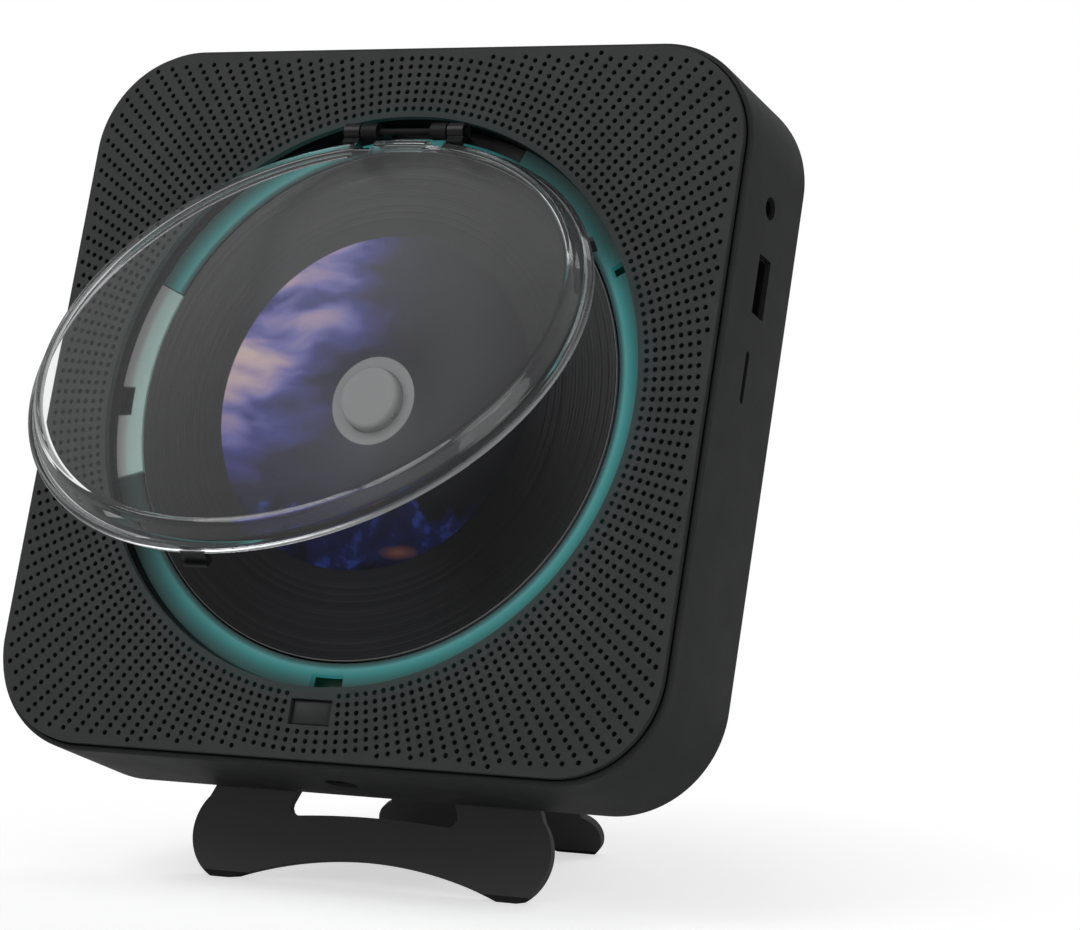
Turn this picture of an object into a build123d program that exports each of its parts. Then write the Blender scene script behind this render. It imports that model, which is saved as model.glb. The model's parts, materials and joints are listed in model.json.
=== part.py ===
from build123d import *
import math
import os

# Disc player with a square speaker front, a round disc well under a hinged clear cover,
# and a folding desk stand. Lengths are millimetres, angles are degrees.
#
# Every piece is drawn in the case frame: x to the right, y up the case, z out of the front,
# with the middle of the front panel at the origin. The last step leans the case back and
# lifts it onto its stand: +Z is then up, the front faces -Y, and the origin lies on the
# table under the middle of the whole player.

# ---------------------------------------------------------------- case
CASE_SIDE = 170.0
CASE_DEPTH = 33.0
CORNER_R = 25.0
WALL = 2.2
FRONT_EDGE_R = 0.9
BACK_EDGE_R = 1.6
BACK_COVER_T = 2.2
COVER_FIT = 0.2
LEAN = 20.0

# ---------------------------------------------------------------- front panel
PANEL_T = 1.8
PANEL_SEAM = 0.3
LIP_W = 1.2
PANEL_OPENING_FIT = 0.2
LEDGE_W = 1.6
LEDGE_T = 1.6

# ---------------------------------------------------------------- light ring
RING_DISC_GAP = 1.0
RING_W = 6.0
RING_TOP_Z = -3.0
RING_IN_DROP = 0.3
RING_T = 2.2
BEZEL_T = 0.9
LED_BOARD_T = 1.2
LED_BOARD_TOP_Z = -7.0
LED_COUNT = 40
LED_SIZE = (2.0, 1.6, 0.8)
LED_SETBACK = 2.9
WINDOW_FROM = 156.0
WINDOW_TO = 198.0
WINDOW_GAP = 0.3
IR_FROM = 178.4
IR_TO = 184.6
IR_W = 3.3
IR_RECEIVER_SHIFT = 0.2
IR_DROP = 0.6

# ---------------------------------------------------------------- disc well and frame
WELL_SETBACK = 0.2
WELL_WALL = 1.4
WELL_FLOOR_Z = -7.4
WELL_FLOOR_T = 1.2
WELL_HOLE_R = 16.0
FRAME_T = 1.2
FRAME_CLEAR = 2.6
LENS_SLOT_W = 16.0
LENS_SLOT_FROM = 17.0
LENS_SLOT_PAST = 0.4

# ---------------------------------------------------------------- disc and spindle
DISC_R = 60.0
DISC_HOLE_R = 7.5
DISC_T = 1.2
DISC_TOP_Z = -3.2
HUB_FIT = 0.12
HUB_TOP_Z = -0.6
PLATTER_R = 14.0
PLATTER_T = 1.2
BALL_R = 1.2
BALL_ORBIT_R = 6.45
BALL_COUNT = 3
SHAFT_R = 1.0
RUNNING_FIT = 0.05
SPINDLE_MOTOR_R = 10.5
SPINDLE_MOTOR_H = 7.4

# ---------------------------------------------------------------- pickup mechanism
CHASSIS_T = 1.2
CHASSIS_TOP_Z = -11.4
CHASSIS_HALF_W = 28.0
CHASSIS_NEAR = -26.0
CHASSIS_PAST = 10.0
DAMPER_R = 4.0
DAMPER_X = 22.0
DAMPER_INSET = (6.0, 20.0)
ROD_R = 1.2
ROD_X = 16.0
ROD_Z = -15.0
BRACKET_T = 2.0
SCREW_R = 1.2
SCREW_X = -21.5
SCREW_PITCH = 3.0
SLED_MOTOR_R = 4.4
SLED_MOTOR_L = 17.0
SLED_Y = (16.0, 34.0)
SLED_HALF_W = 19.0
SLED_Z = (-17.8, -12.9)
LENS_EDGE = 3.0
LENS_Y = 25.0
LENS_R = 2.2
LENS_FIT = 0.1
LENS_HOLDER = (12.0, 6.4)
LENS_TOP_Z = -5.8

# ---------------------------------------------------------------- clear cover
COVER_RIM_INSET = 1.7
COVER_TAPER = 3.0
COVER_H = 6.0
COVER_WALL = 1.4
COVER_DROP = 1.4
COVER_RIM_Z = -2.75
COVER_LIP_H = 1.3
COVER_LIP_W = 2.0
COVER_OPEN = 29.3
HINGE_INSET = 4.0
HINGE_Z = 3.0
HINGE_BARREL_R = 2.0
HINGE_PIN_R = 0.8
HINGE_EAR_X = (7.0, 11.0)
HINGE_KNUCKLE_X = (11.4, 15.4)
HINGE_SWING_R = 6.5
POCKET_FROM = 65.0
POCKET_TO = 115.0
POCKET_W = 3.4
POCKET_FLOOR_Z = -4.6

# ---------------------------------------------------------------- cover latch
TILE_W = 10.3
TILE_H = 5.8
TILE_GAP = 5.9
TILE_PROUD = 0.9
TILE_FIT = 0.2
TILE_STEM_Z = -5.4
TONGUE_W = 6.0
TONGUE_NOTCH_W = 8.3
TONGUE_TIP_Z = -6.2
CATCH_NOSE_Z = (-5.1, -4.1)
CATCH_GAP = 0.05
CATCH_BASE_Z = (-8.4, -6.6)
SWITCH_ANGLE = 30.0
SWITCH_SLOT = (3.4, 2.8)
PRONG = (1.6, 1.8)
PRONG_TIP_Z = -5.4

# ---------------------------------------------------------------- speakers
SPEAKER_RING_GAP = 0.1812
SPEAKER_R = 17.0
SPEAKER_RIM_R = 19.5
SPEAKER_RIM_T = 1.2
SPEAKER_H = 8.0
MAGNET_R = 11.0
MAGNET_H = 6.0
CONE_T = 0.5

# ---------------------------------------------------------------- sockets on the right side
JACK_Y = 50.9
JACK_Z = -14.8
JACK_BORE_R = 1.8
JACK_NOSE_R = 2.5
JACK_BODY = (12.0, 6.0, 5.2)
JACK_HOLE_R = 2.6
USB_Y = 32.9
USB_BODY = (16.0, 13.1, 5.7)
USB_METAL = 0.4
USB_TONGUE = (9.0, 11.1, 1.8)
USB_OPENING = (13.8, 6.4)
CARD_Y = 11.4
CARD_BODY = (13.0, 12.4, 1.9)
CARD_SLOT = (11.2, 0.9)
CARD_OPENING = (12.0, 1.8)
PORT_BOARD_INSET = (19.0, 3.5)
PORT_BOARD_POST = 7.0
PORT_BOARD_Y = (2.0, 60.0)
PORT_BOARD_T = 1.2
PORT_BOARD_BACK_Z = -13.2
SOCKET_RECESS = 0.8

# ---------------------------------------------------------------- power inlet underneath
INLET_Z = -17.5
INLET_BODY = (9.2, 11.6, 9.2)
INLET_NOSE_R = 3.7
INLET_HOLE_R = 3.8
INLET_BORE_R = 2.75
INLET_PIN_R = 1.0

# ---------------------------------------------------------------- buttons along the top
BUTTONS = ("power", "mode", "previous", "play", "next", "volume_down", "volume_up")
BUTTON_PITCH = 12.0
BUTTON_W = 8.0
BUTTON_D = 4.4
BUTTON_FIT = 0.2
BUTTON_Z = -16.0
BUTTON_PROUD = 0.7
BUTTON_TRAVEL = 0.4
BUTTON_FLANGE = 1.0
SWITCH_H = 2.4
SWITCH_BODY = 4.5
BUTTON_BOARD_T = 1.4

# ---------------------------------------------------------------- main board
MAIN_BOARD_GAP = 3.8
MAIN_BOARD_T = 1.6
MAIN_BOARD_X = 45.0
MAIN_BOARD_INSET = 12.0
MAIN_BOARD_H = 61.0
BOARD_POST_R = 3.0
BOARD_POST_INSET = (5.0, 7.0, 6.0)
CHIPS = (
    (-22.0, 35.0, 14.0, 14.0, 1.4),
    (4.0, 41.0, 10.0, 10.0, 1.2),
    (24.0, 33.0, 8.0, 12.0, 1.2),
    (-30.0, 15.0, 7.0, 5.0, 3.0),
    (20.0, 13.0, 9.0, 7.0, 2.0),
)

# ---------------------------------------------------------------- case fasteners
BOSS_R = 4.6
BOSS_INSET = 6.7
BOSS_SIDE_Y = -10.0
BOSS_TOP_X = 56.0
BOSS_LOW_X = 30.0
CASE_SCREW_R = 1.4
CASE_SCREW_HEAD_R = 2.8
CASE_SCREW_HEAD_H = 1.5
CASE_SCREW_L = 10.0
KEYHOLE_X = 50.0
KEYHOLE_Y = 48.0
KEYHOLE_HEAD_R = 4.5
KEYHOLE_SLOT_R = 2.2
KEYHOLE_RUN = 8.0

# ---------------------------------------------------------------- desk stand
STAND_T = 2.0
STAND_PAD_H = 1.0
STAND_BOSS_R = 5.0
STAND_BOSSES = ((-20.0, -64.0), (20.0, -64.0), (-20.0, -30.0), (20.0, -30.0))
STAND_SCREW_R = 1.5
FOOT_DROP = 20.8
FOOT_FLAT_X = (34.6, 39.6)
LOBE_X = 46.3
LOBE_RISE = 9.9
NECK_X = 43.3
NECK_RISE = 18.6
ARCH_RISE = 6.4
LEG_TOP_HALF_W = 30.0
LEG_TOP_Y = -8.0
LEG_SHOULDER_RISE = 27.0
SLOT_TOP_RISE = 6.0
SLOT_HALF_W = (18.0, 21.7)
SLOT_SIDE_DROP = 3.4
SLOT_FLOOR_DROP = 4.3
SLOT_CORNER_DROP = 0.8
SLOT_CORNER_R = 2.4
PAD_T = 1.5
STAND_HINGE_Y = -14.0
STAND_HINGE_BACK = 5.0
STAND_BARREL_R = 2.6
STAND_PIN_R = 1.2
STAND_EAR_X = (12.2, 20.0)
STAND_KNUCKLE_X = 11.8
REAR_OPEN = 39.5
REAR_LOBE_X = 30.0
REAR_NECK_X = 25.5
REAR_FLAT_X = (20.0, 26.0)
REAR_LOBE_RISE = 4.6
REAR_NECK_RISE = 10.5
REAR_ARCH_RISE = 3.6
REAR_SHOULDER = 6.0
REAR_STOP = 3.3

# ---------------------------------------------------------------- places worked out from the sizes
HALF = CASE_SIDE / 2
INNER_HALF = HALF - WALL
INNER_R = CORNER_R - WALL
BACK_Z = -CASE_DEPTH
BACK_INSIDE_Z = BACK_Z + BACK_COVER_T
PANEL_HALF = HALF - LIP_W - PANEL_SEAM
PANEL_R = CORNER_R - LIP_W - PANEL_SEAM
RING_IN_R = DISC_R + RING_DISC_GAP
RING_OUT_R = RING_IN_R + RING_W
RING_BOTTOM_Z = RING_TOP_Z - RING_T
PANEL_OPENING_R = RING_OUT_R + PANEL_OPENING_FIT
BEZEL_IN_R = RING_OUT_R + 0.1
LED_R = RING_IN_R + LED_SETBACK
IR_IN_R = RING_OUT_R - IR_W
WELL_R = RING_IN_R + WELL_SETBACK
IR_RECEIVER_R = (WELL_R + WELL_WALL + RING_OUT_R) / 2 + IR_RECEIVER_SHIFT
LENS_SLOT_Y = (LENS_SLOT_FROM, DISC_R + LENS_SLOT_PAST)
CHASSIS_Y = (CHASSIS_NEAR, DISC_R + CHASSIS_PAST)
DAMPER_Y = (CHASSIS_Y[0] + DAMPER_INSET[0], CHASSIS_Y[1] - DAMPER_INSET[1])
SLED_TRAVEL = DISC_R - LENS_EDGE - LENS_Y
COVER_RIM_R = RING_OUT_R - COVER_RIM_INSET
COVER_FACE_R = COVER_RIM_R - COVER_TAPER
HINGE_Y = RING_OUT_R - HINGE_INSET
POCKET_IN_R = RING_OUT_R - POCKET_W
TILE_Y = -RING_OUT_R - TILE_GAP
CATCH_NOSE_Y = -COVER_DROP - COVER_RIM_R - CATCH_GAP
SPEAKER_X = (BEZEL_IN_R + BEZEL_T + SPEAKER_RIM_R + SPEAKER_RING_GAP) / math.sqrt(2)
SPEAKER_Y = -SPEAKER_X
PORT_BOARD_X = (HALF - PORT_BOARD_INSET[0], HALF - PORT_BOARD_INSET[1])
MAIN_BOARD_Z = (BACK_INSIDE_Z + MAIN_BOARD_GAP, BACK_INSIDE_Z + MAIN_BOARD_GAP + MAIN_BOARD_T)
MAIN_BOARD_Y = (-HALF + MAIN_BOARD_INSET, -HALF + MAIN_BOARD_INSET + MAIN_BOARD_H)
BOARD_POST_X = MAIN_BOARD_X - BOARD_POST_INSET[0]
BOARD_POST_Y = (MAIN_BOARD_Y[0] + BOARD_POST_INSET[1], MAIN_BOARD_Y[1] - BOARD_POST_INSET[2])
BOARD_POSTS = [(x, y) for y in BOARD_POST_Y for x in (-BOARD_POST_X, BOARD_POST_X)]
BOSS_EDGE = HALF - BOSS_INSET
BOSSES = (
    (BOSS_EDGE, BOSS_SIDE_Y),
    (-BOSS_EDGE, BOSS_SIDE_Y),
    (BOSS_TOP_X, BOSS_EDGE),
    (-BOSS_TOP_X, BOSS_EDGE),
    (BOSS_LOW_X, -BOSS_EDGE),
    (-BOSS_LOW_X, -BOSS_EDGE),
)
LEG_SHOULDER_Y = -HALF + LEG_SHOULDER_RISE
SLOT_TOP_Y = -HALF + SLOT_TOP_RISE
SLOT_SIDE_Y = -HALF - SLOT_SIDE_DROP
SLOT_FLOOR_Y = -HALF - SLOT_FLOOR_DROP
WELL_BOTTOM_Z = WELL_FLOOR_Z - WELL_FLOOR_T
FRAME_BACK_Z = WELL_BOTTOM_Z - FRAME_T
DISC_BOTTOM_Z = DISC_TOP_Z - DISC_T
CHASSIS_BACK_Z = CHASSIS_TOP_Z - CHASSIS_T
HUB_R = DISC_HOLE_R - HUB_FIT
COVER_RIM_TOP_Z = COVER_RIM_Z + COVER_LIP_H
COVER_FACE_Z = COVER_RIM_Z + COVER_H
STAND_FRONT_Z = BACK_Z - STAND_PAD_H
STAND_BACK_Z = STAND_FRONT_Z - STAND_T
FOOT_Y = -HALF - FOOT_DROP
STAND_HINGE_Z = STAND_BACK_Z - STAND_HINGE_BACK + STAND_T
CASE_LOCATION = Location((0, 0, 0), (90 - LEAN, 0, 0))
LOW = (Align.CENTER, Align.CENTER, Align.MIN)


# ---------------------------------------------------------------- small helpers
def block(x, y, z):
    """A box between the low and high value of each axis."""
    size = (x[1] - x[0], y[1] - y[0], z[1] - z[0])
    return Pos((x[0] + x[1]) / 2, (y[0] + y[1]) / 2, (z[0] + z[1]) / 2) * Box(*size)


def post(radius, z, x=0.0, y=0.0):
    """A round post along z."""
    return Pos(x, y, z[0]) * Cylinder(radius, z[1] - z[0], align=LOW)


def rod_x(radius, x, y, z):
    """A round rod along x."""
    return Pos((x[0] + x[1]) / 2, y, z) * Rot(0, 90, 0) * Cylinder(radius, x[1] - x[0])


def rod_y(radius, y, x, z):
    """A round rod along y."""
    return Pos(x, (y[0] + y[1]) / 2, z) * Rot(90, 0, 0) * Cylinder(radius, y[1] - y[0])


def slab(half, radius, z):
    """A rounded square plate."""
    outline = RectangleRounded(2 * half, 2 * half, radius)
    return extrude(Plane.XY.offset(z[0]) * outline, z[1] - z[0])


def collar(inner, outer, z):
    """A flat ring."""
    return post(outer, z) - post(inner, (z[0] - 1, z[1] + 1))


def sector(inner, outer, start, end, z):
    """The part of a flat ring between two angles."""
    reach = outer * 1.5
    steps = 4
    angles = [math.radians(start + (end - start) * i / steps) for i in range(steps + 1)]
    rim = [(reach * math.cos(a), reach * math.sin(a)) for a in angles]
    wedge = extrude(Plane.XY.offset(z[0]) * make_face(Polyline((0, 0), *rim, close=True)), z[1] - z[0])
    return collar(inner, outer, z) & wedge


def polar(radius, angle):
    return radius * math.cos(math.radians(angle)), radius * math.sin(math.radians(angle))


def mirrored(piece):
    """A piece and its copy across the middle plane."""
    return piece + mirror(piece, Plane.YZ)


# ---------------------------------------------------------------- case
def housing_shell():
    outer = slab(HALF, CORNER_R, (BACK_Z, 0))
    outer = fillet(outer.faces().sort_by(Axis.Z)[-1].edges(), FRONT_EDGE_R)
    outer = fillet(outer.faces().sort_by(Axis.Z)[0].edges(), BACK_EDGE_R)
    shell = outer - slab(INNER_HALF, INNER_R, (BACK_Z - 1, 1))
    shell -= slab(HALF - LIP_W, CORNER_R - LIP_W, (-PANEL_T, 1))
    ledge = slab(INNER_HALF, INNER_R, (-PANEL_T - LEDGE_T, -PANEL_T))
    ledge -= slab(INNER_HALF - LEDGE_W, INNER_R - LEDGE_W, (-PANEL_T - LEDGE_T - 1, 0))
    shell += ledge
    room = slab(INNER_HALF + WALL / 2, CORNER_R - WALL / 2, (BACK_Z, 0))
    for x, y in BOSSES:
        shell += post(BOSS_R, (BACK_INSIDE_Z, FRAME_BACK_Z), x, y) & room
    for x, y in BOSSES:
        shell -= post(CASE_SCREW_R, (BACK_INSIDE_Z - 1, BACK_INSIDE_Z + CASE_SCREW_L), x, y)
    for side in (-1, 1):
        end = sorted((side * button_board_half(), side * (button_board_half() + 3.0)))
        shell += block(end, (button_board_y()[0], INNER_HALF + 0.5), (BUTTON_Z - 6, BUTTON_Z + 6))
    return shell - side_openings() - top_openings() - inlet_opening()


def side_openings():
    wall = (INNER_HALF - 0.5, HALF + 1)
    jack = rod_x(JACK_HOLE_R, wall, JACK_Y, JACK_Z)
    usb = rounded_bar(wall, USB_Y, usb_z(), USB_OPENING, 0.6)
    card = rounded_bar(wall, CARD_Y, card_z(), CARD_OPENING, CARD_OPENING[1] / 2 - 0.01)
    return jack + usb + card


def rounded_bar(x, y, z, size, radius):
    """A bar along x whose section is a rounded rectangle, size[0] along y and size[1] along z."""
    section = Plane.YZ.offset(x[0]) * Pos(y, z) * RectangleRounded(size[0], size[1], radius)
    return extrude(section, x[1] - x[0])


def button_x(index):
    return (index - (len(BUTTONS) - 1) / 2) * BUTTON_PITCH


def button_board_half():
    return button_x(len(BUTTONS) - 1) + BUTTON_PITCH * 0.8


def button_flange_y():
    """Low and high y of the flange that keeps a button in the case."""
    top = INNER_HALF - BUTTON_FIT
    return top - BUTTON_FLANGE, top


def button_board_y():
    top = button_flange_y()[0] - BUTTON_TRAVEL - 0.1 - SWITCH_H
    return top - BUTTON_BOARD_T, top


def pill(x, width, depth, y):
    """A pill-shaped key along y."""
    section = Plane.XZ.offset(-y[0]) * Pos(x, BUTTON_Z) * RectangleRounded(width, depth, depth / 2 - 0.01)
    return extrude(section, -(y[1] - y[0]))


def top_openings():
    cut = None
    for i in range(len(BUTTONS)):
        width, depth = BUTTON_W + 2 * BUTTON_FIT, BUTTON_D + 2 * BUTTON_FIT
        hole = pill(button_x(i), width, depth, (INNER_HALF - 0.5, HALF + 1))
        cut = hole if cut is None else cut + hole
    return cut


def inlet_opening():
    return rod_y(INLET_HOLE_R, (-HALF - 1, -INNER_HALF + 0.5), 0, INLET_Z)


def back_cover():
    cover = slab(INNER_HALF - COVER_FIT, INNER_R - COVER_FIT, (BACK_Z, BACK_INSIDE_Z))
    for x, y in BOSSES:
        cover -= post(CASE_SCREW_HEAD_R + COVER_FIT, (BACK_Z - 1, BACK_Z + CASE_SCREW_HEAD_H), x, y)
        cover -= post(CASE_SCREW_R + COVER_FIT, (BACK_Z - 1, BACK_INSIDE_Z + 1), x, y)
    for x, y in STAND_BOSSES:
        cover += post(STAND_BOSS_R, (STAND_FRONT_Z, BACK_Z), x, y)
        cover -= post(STAND_SCREW_R, (STAND_FRONT_Z - 1, BACK_INSIDE_Z + 1), x, y)
    for x, y in BOARD_POSTS:
        cover += post(BOARD_POST_R, (BACK_INSIDE_Z, MAIN_BOARD_Z[0]), x, y)
    for side in (-1, 1):
        x = side * KEYHOLE_X
        depth = (BACK_Z - 1, BACK_INSIDE_Z + 1)
        cover -= post(KEYHOLE_HEAD_R, depth, x, KEYHOLE_Y)
        cover -= post(KEYHOLE_SLOT_R, depth, x, KEYHOLE_Y + KEYHOLE_RUN)
        cover -= block((x - KEYHOLE_SLOT_R, x + KEYHOLE_SLOT_R), (KEYHOLE_Y, KEYHOLE_Y + KEYHOLE_RUN), depth)
    return cover


def case_screws():
    screws = []
    for x, y in BOSSES:
        head = post(CASE_SCREW_HEAD_R, (BACK_Z + 0.2, BACK_Z + CASE_SCREW_HEAD_H), x, y)
        shank = post(CASE_SCREW_R, (BACK_Z + CASE_SCREW_HEAD_H, BACK_INSIDE_Z + CASE_SCREW_L - 1), x, y)
        screws.append(head + shank - post(1.2, (BACK_Z, BACK_Z + 1.0), x, y))
    return screws


# ---------------------------------------------------------------- front panel
def speaker_grille():
    panel = slab(PANEL_HALF, PANEL_R, (-PANEL_T, 0)) - post(PANEL_OPENING_R, (-PANEL_T - 1, 1))
    half_w, half_h = TILE_W / 2 + TILE_FIT, TILE_H / 2 + TILE_FIT
    return panel - block((-half_w, half_w), (TILE_Y - half_h, TILE_Y + half_h), (-PANEL_T - 1, 1))


# ---------------------------------------------------------------- light ring
def ring_blank(inner, outer, bottom):
    """A ring whose top falls slightly towards its inner edge."""
    profile = Polyline(
        (inner, bottom),
        (outer, bottom),
        (outer, RING_TOP_Z),
        (inner, RING_TOP_Z - RING_IN_DROP),
        close=True,
    )
    return revolve(Plane.XZ * make_face(profile), Axis.Z, 360)


def tongue_notch(z):
    half = TONGUE_NOTCH_W / 2
    return block((-half, half), (-RING_OUT_R - 1, -POCKET_IN_R), z)


def switch_slot(z):
    x, y = polar((POCKET_IN_R + RING_OUT_R) / 2 - 0.6, SWITCH_ANGLE)
    return Pos(x, y, (z[0] + z[1]) / 2) * Rot(0, 0, SWITCH_ANGLE) * Box(*SWITCH_SLOT, z[1] - z[0])


def light_ring():
    deep = (RING_BOTTOM_Z - 1, 1)
    ring = ring_blank(RING_IN_R, RING_OUT_R, RING_BOTTOM_Z)
    ring -= sector(POCKET_IN_R, RING_OUT_R + 1, POCKET_FROM, POCKET_TO, deep)
    ring -= sector(RING_IN_R - 1, RING_OUT_R + 1, WINDOW_FROM, WINDOW_TO, deep)
    return ring - tongue_notch(deep) - switch_slot(deep)


def window_sector(inset, inner, z):
    return sector(inner, RING_OUT_R + 1, WINDOW_FROM + inset, WINDOW_TO - inset, z)


def display_window():
    deep = (RING_BOTTOM_Z - 1, 1)
    window = ring_blank(RING_IN_R, RING_OUT_R, RING_BOTTOM_Z) & window_sector(WINDOW_GAP, RING_IN_R - 1, deep)
    return window - sector(IR_IN_R, RING_OUT_R + 1, IR_FROM, IR_TO, deep)


def ir_window():
    return sector(
        IR_IN_R + 0.1, RING_OUT_R, IR_FROM + 0.15, IR_TO - 0.15, (RING_BOTTOM_Z, RING_TOP_Z - IR_DROP)
    )


def ring_bezel():
    z = (RING_BOTTOM_Z, -PANEL_T)
    bezel = collar(BEZEL_IN_R, BEZEL_IN_R + BEZEL_T, z)
    bezel -= sector(RING_OUT_R, RING_OUT_R + 2, 270 - 4, 270 + 4, (z[0] - 1, z[1] - 0.6))
    return bezel + collar(BEZEL_IN_R + 0.1, BEZEL_IN_R + BEZEL_T, (WELL_BOTTOM_Z, z[0])) - sector(
        RING_OUT_R, RING_OUT_R + 3, 270 - 6, 270 + 6, (WELL_BOTTOM_Z - 1, RING_TOP_Z)
    )


def led_ring_board():
    z = (LED_BOARD_TOP_Z - LED_BOARD_T, LED_BOARD_TOP_Z)
    board = collar(WELL_R + WELL_WALL + 0.1, RING_OUT_R - 0.2, z)
    board -= sector(WELL_R, RING_OUT_R + 1, POCKET_FROM - 1, POCKET_TO + 1, (z[0] - 1, z[1] + 1))
    posts = [post(0.8, (WELL_BOTTOM_Z, z[0]), *polar(LED_R + 0.8, a)) for a in (45, 135, 225, 315)]
    for p in posts:
        board += p
    return board


def ring_leds():
    leds = []
    for i in range(LED_COUNT):
        angle = (i + 0.5) * 360 / LED_COUNT
        blocked = (
            POCKET_FROM - 3 < angle < POCKET_TO + 3
            or WINDOW_FROM - 2 < angle < WINDOW_TO + 2
            or abs(angle - 270) < 6
            or abs(angle - SWITCH_ANGLE) < 5
        )
        if blocked:
            continue
        x, y = polar(LED_R, angle)
        leds.append(Pos(x, y, LED_BOARD_TOP_Z + LED_SIZE[2] / 2) * Rot(0, 0, angle) * Box(*LED_SIZE))
    return leds


def display_module():
    z = (LED_BOARD_TOP_Z, RING_BOTTOM_Z - 0.2)
    module = window_sector(2.0, WELL_R + WELL_WALL + 0.2, z) & collar(WELL_R, RING_OUT_R - 0.4, z)
    return module - sector(WELL_R, RING_OUT_R + 1, IR_FROM - 1, IR_TO + 1, (z[0] - 1, z[1] + 1))


def ir_receiver():
    middle = (IR_FROM + IR_TO) / 2
    x, y = polar(IR_RECEIVER_R, middle)
    height = RING_BOTTOM_Z - 0.2 - LED_BOARD_TOP_Z
    return Pos(x, y, LED_BOARD_TOP_Z + height / 2) * Rot(0, 0, middle) * Box(3.2, 5.2, height)


# ---------------------------------------------------------------- disc well and frame
def disc_well():
    half = INNER_HALF - FRAME_CLEAR
    frame = slab(half, INNER_R - FRAME_CLEAR, (FRAME_BACK_Z, WELL_BOTTOM_Z))
    frame -= post(WELL_R, (FRAME_BACK_Z - 1, 0))
    wall = collar(WELL_R, WELL_R + WELL_WALL, (FRAME_BACK_Z, RING_BOTTOM_Z))
    floor = post(WELL_R + 0.5, (WELL_BOTTOM_Z, WELL_FLOOR_Z))
    well = frame + wall + floor
    well -= post(WELL_HOLE_R, (WELL_BOTTOM_Z - 1, 0))
    well -= block((-LENS_SLOT_W / 2, LENS_SLOT_W / 2), LENS_SLOT_Y, (WELL_BOTTOM_Z - 1, 0))
    for side in (-1, 1):
        well -= post(SPEAKER_R + 0.3, (FRAME_BACK_Z - 1, 0), side * SPEAKER_X, SPEAKER_Y)
    for y in (PORT_BOARD_Y[0] + 2.4, PORT_BOARD_Y[1] - 2.4):
        well += post(2.0, (port_board_z()[1], FRAME_BACK_Z), PORT_BOARD_X[0] + PORT_BOARD_POST, y)
    return well


def hinge_bracket():
    base = sector(
        POCKET_IN_R + 0.2, RING_OUT_R - 0.2, POCKET_FROM + 1, POCKET_TO - 1, (WELL_BOTTOM_Z, POCKET_FLOOR_Z)
    )
    ear = rod_x(HINGE_BARREL_R, HINGE_EAR_X, HINGE_Y, HINGE_Z)
    ear += block(HINGE_EAR_X, (HINGE_Y + 0.9, HINGE_Y + HINGE_BARREL_R), (POCKET_FLOOR_Z - 0.5, HINGE_Z))
    return base + mirrored(ear) - rod_x(HINGE_PIN_R, (-20, 20), HINGE_Y, HINGE_Z)


def cover_hinge_pin():
    return rod_x(HINGE_PIN_R, (-HINGE_KNUCKLE_X[1] - 0.4, HINGE_KNUCKLE_X[1] + 0.4), HINGE_Y, HINGE_Z)


def lid_switch():
    x, y = polar((POCKET_IN_R + RING_OUT_R) / 2 - 0.6, SWITCH_ANGLE)
    body = Pos(x, y, WELL_BOTTOM_Z) * Rot(0, 0, SWITCH_ANGLE) * Box(2.2, 2.8, 0.39, align=LOW)
    return body


# ---------------------------------------------------------------- clear cover
def dust_cover():
    """The cover as it lies when shut, turned about its hinge pin to the open rest position."""
    face = COVER_FACE_Z
    inside = face - COVER_WALL
    rim_in = COVER_RIM_R - COVER_LIP_W
    profile = Polyline(
        (0, inside),
        (COVER_FACE_R - 1.7, inside),
        (rim_in - 0.3, COVER_RIM_TOP_Z - 0.4),
        (rim_in, COVER_RIM_Z),
        (COVER_RIM_R, COVER_RIM_Z),
        (COVER_RIM_R, COVER_RIM_TOP_Z),
        (COVER_FACE_R + 1.1, COVER_RIM_TOP_Z + 1.2),
        (COVER_FACE_R, face - 1.0),
        (COVER_FACE_R - 0.9, face),
        (0, face),
        close=True,
    )
    dish = revolve(Plane.XZ * make_face(profile), Axis.Z, 360)
    dish = Pos(0, -COVER_DROP, 0) * dish
    for ear in (HINGE_EAR_X, (-HINGE_EAR_X[1], -HINGE_EAR_X[0])):
        dish -= rod_x(HINGE_SWING_R, (ear[0] - 0.4, ear[1] + 0.4), HINGE_Y, HINGE_Z)
    knuckle = rod_x(HINGE_BARREL_R, HINGE_KNUCKLE_X, HINGE_Y, HINGE_Z)
    knuckle += block(HINGE_KNUCKLE_X, (HINGE_Y - 3.4, HINGE_Y), (HINGE_Z - 1.4, COVER_FACE_Z - 0.2))
    dish += mirrored(knuckle)
    dish += tongue() + prong()
    dish -= rod_x(HINGE_PIN_R + RUNNING_FIT, (-20, 20), HINGE_Y, HINGE_Z)
    axis = Axis((0, HINGE_Y, HINGE_Z), (-1, 0, 0))
    return dish.rotate(axis, COVER_OPEN)


def tongue():
    bottom = -COVER_DROP - COVER_RIM_R
    half = TONGUE_W / 2
    stem = block((-half, half), (bottom + 0.3, bottom + 1.7), (TONGUE_TIP_Z, COVER_RIM_Z + 0.3))
    lip = block((-half, half), (bottom - 0.6, bottom + 0.3), (TONGUE_TIP_Z, TONGUE_TIP_Z + 0.8))
    return stem + lip


def prong():
    x, y = polar((POCKET_IN_R + RING_OUT_R) / 2 - 0.6, SWITCH_ANGLE)
    length = COVER_RIM_Z + 0.3 - PRONG_TIP_Z
    return Pos(x, y, PRONG_TIP_Z) * Rot(0, 0, SWITCH_ANGLE) * Box(*PRONG, length, align=LOW)


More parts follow.
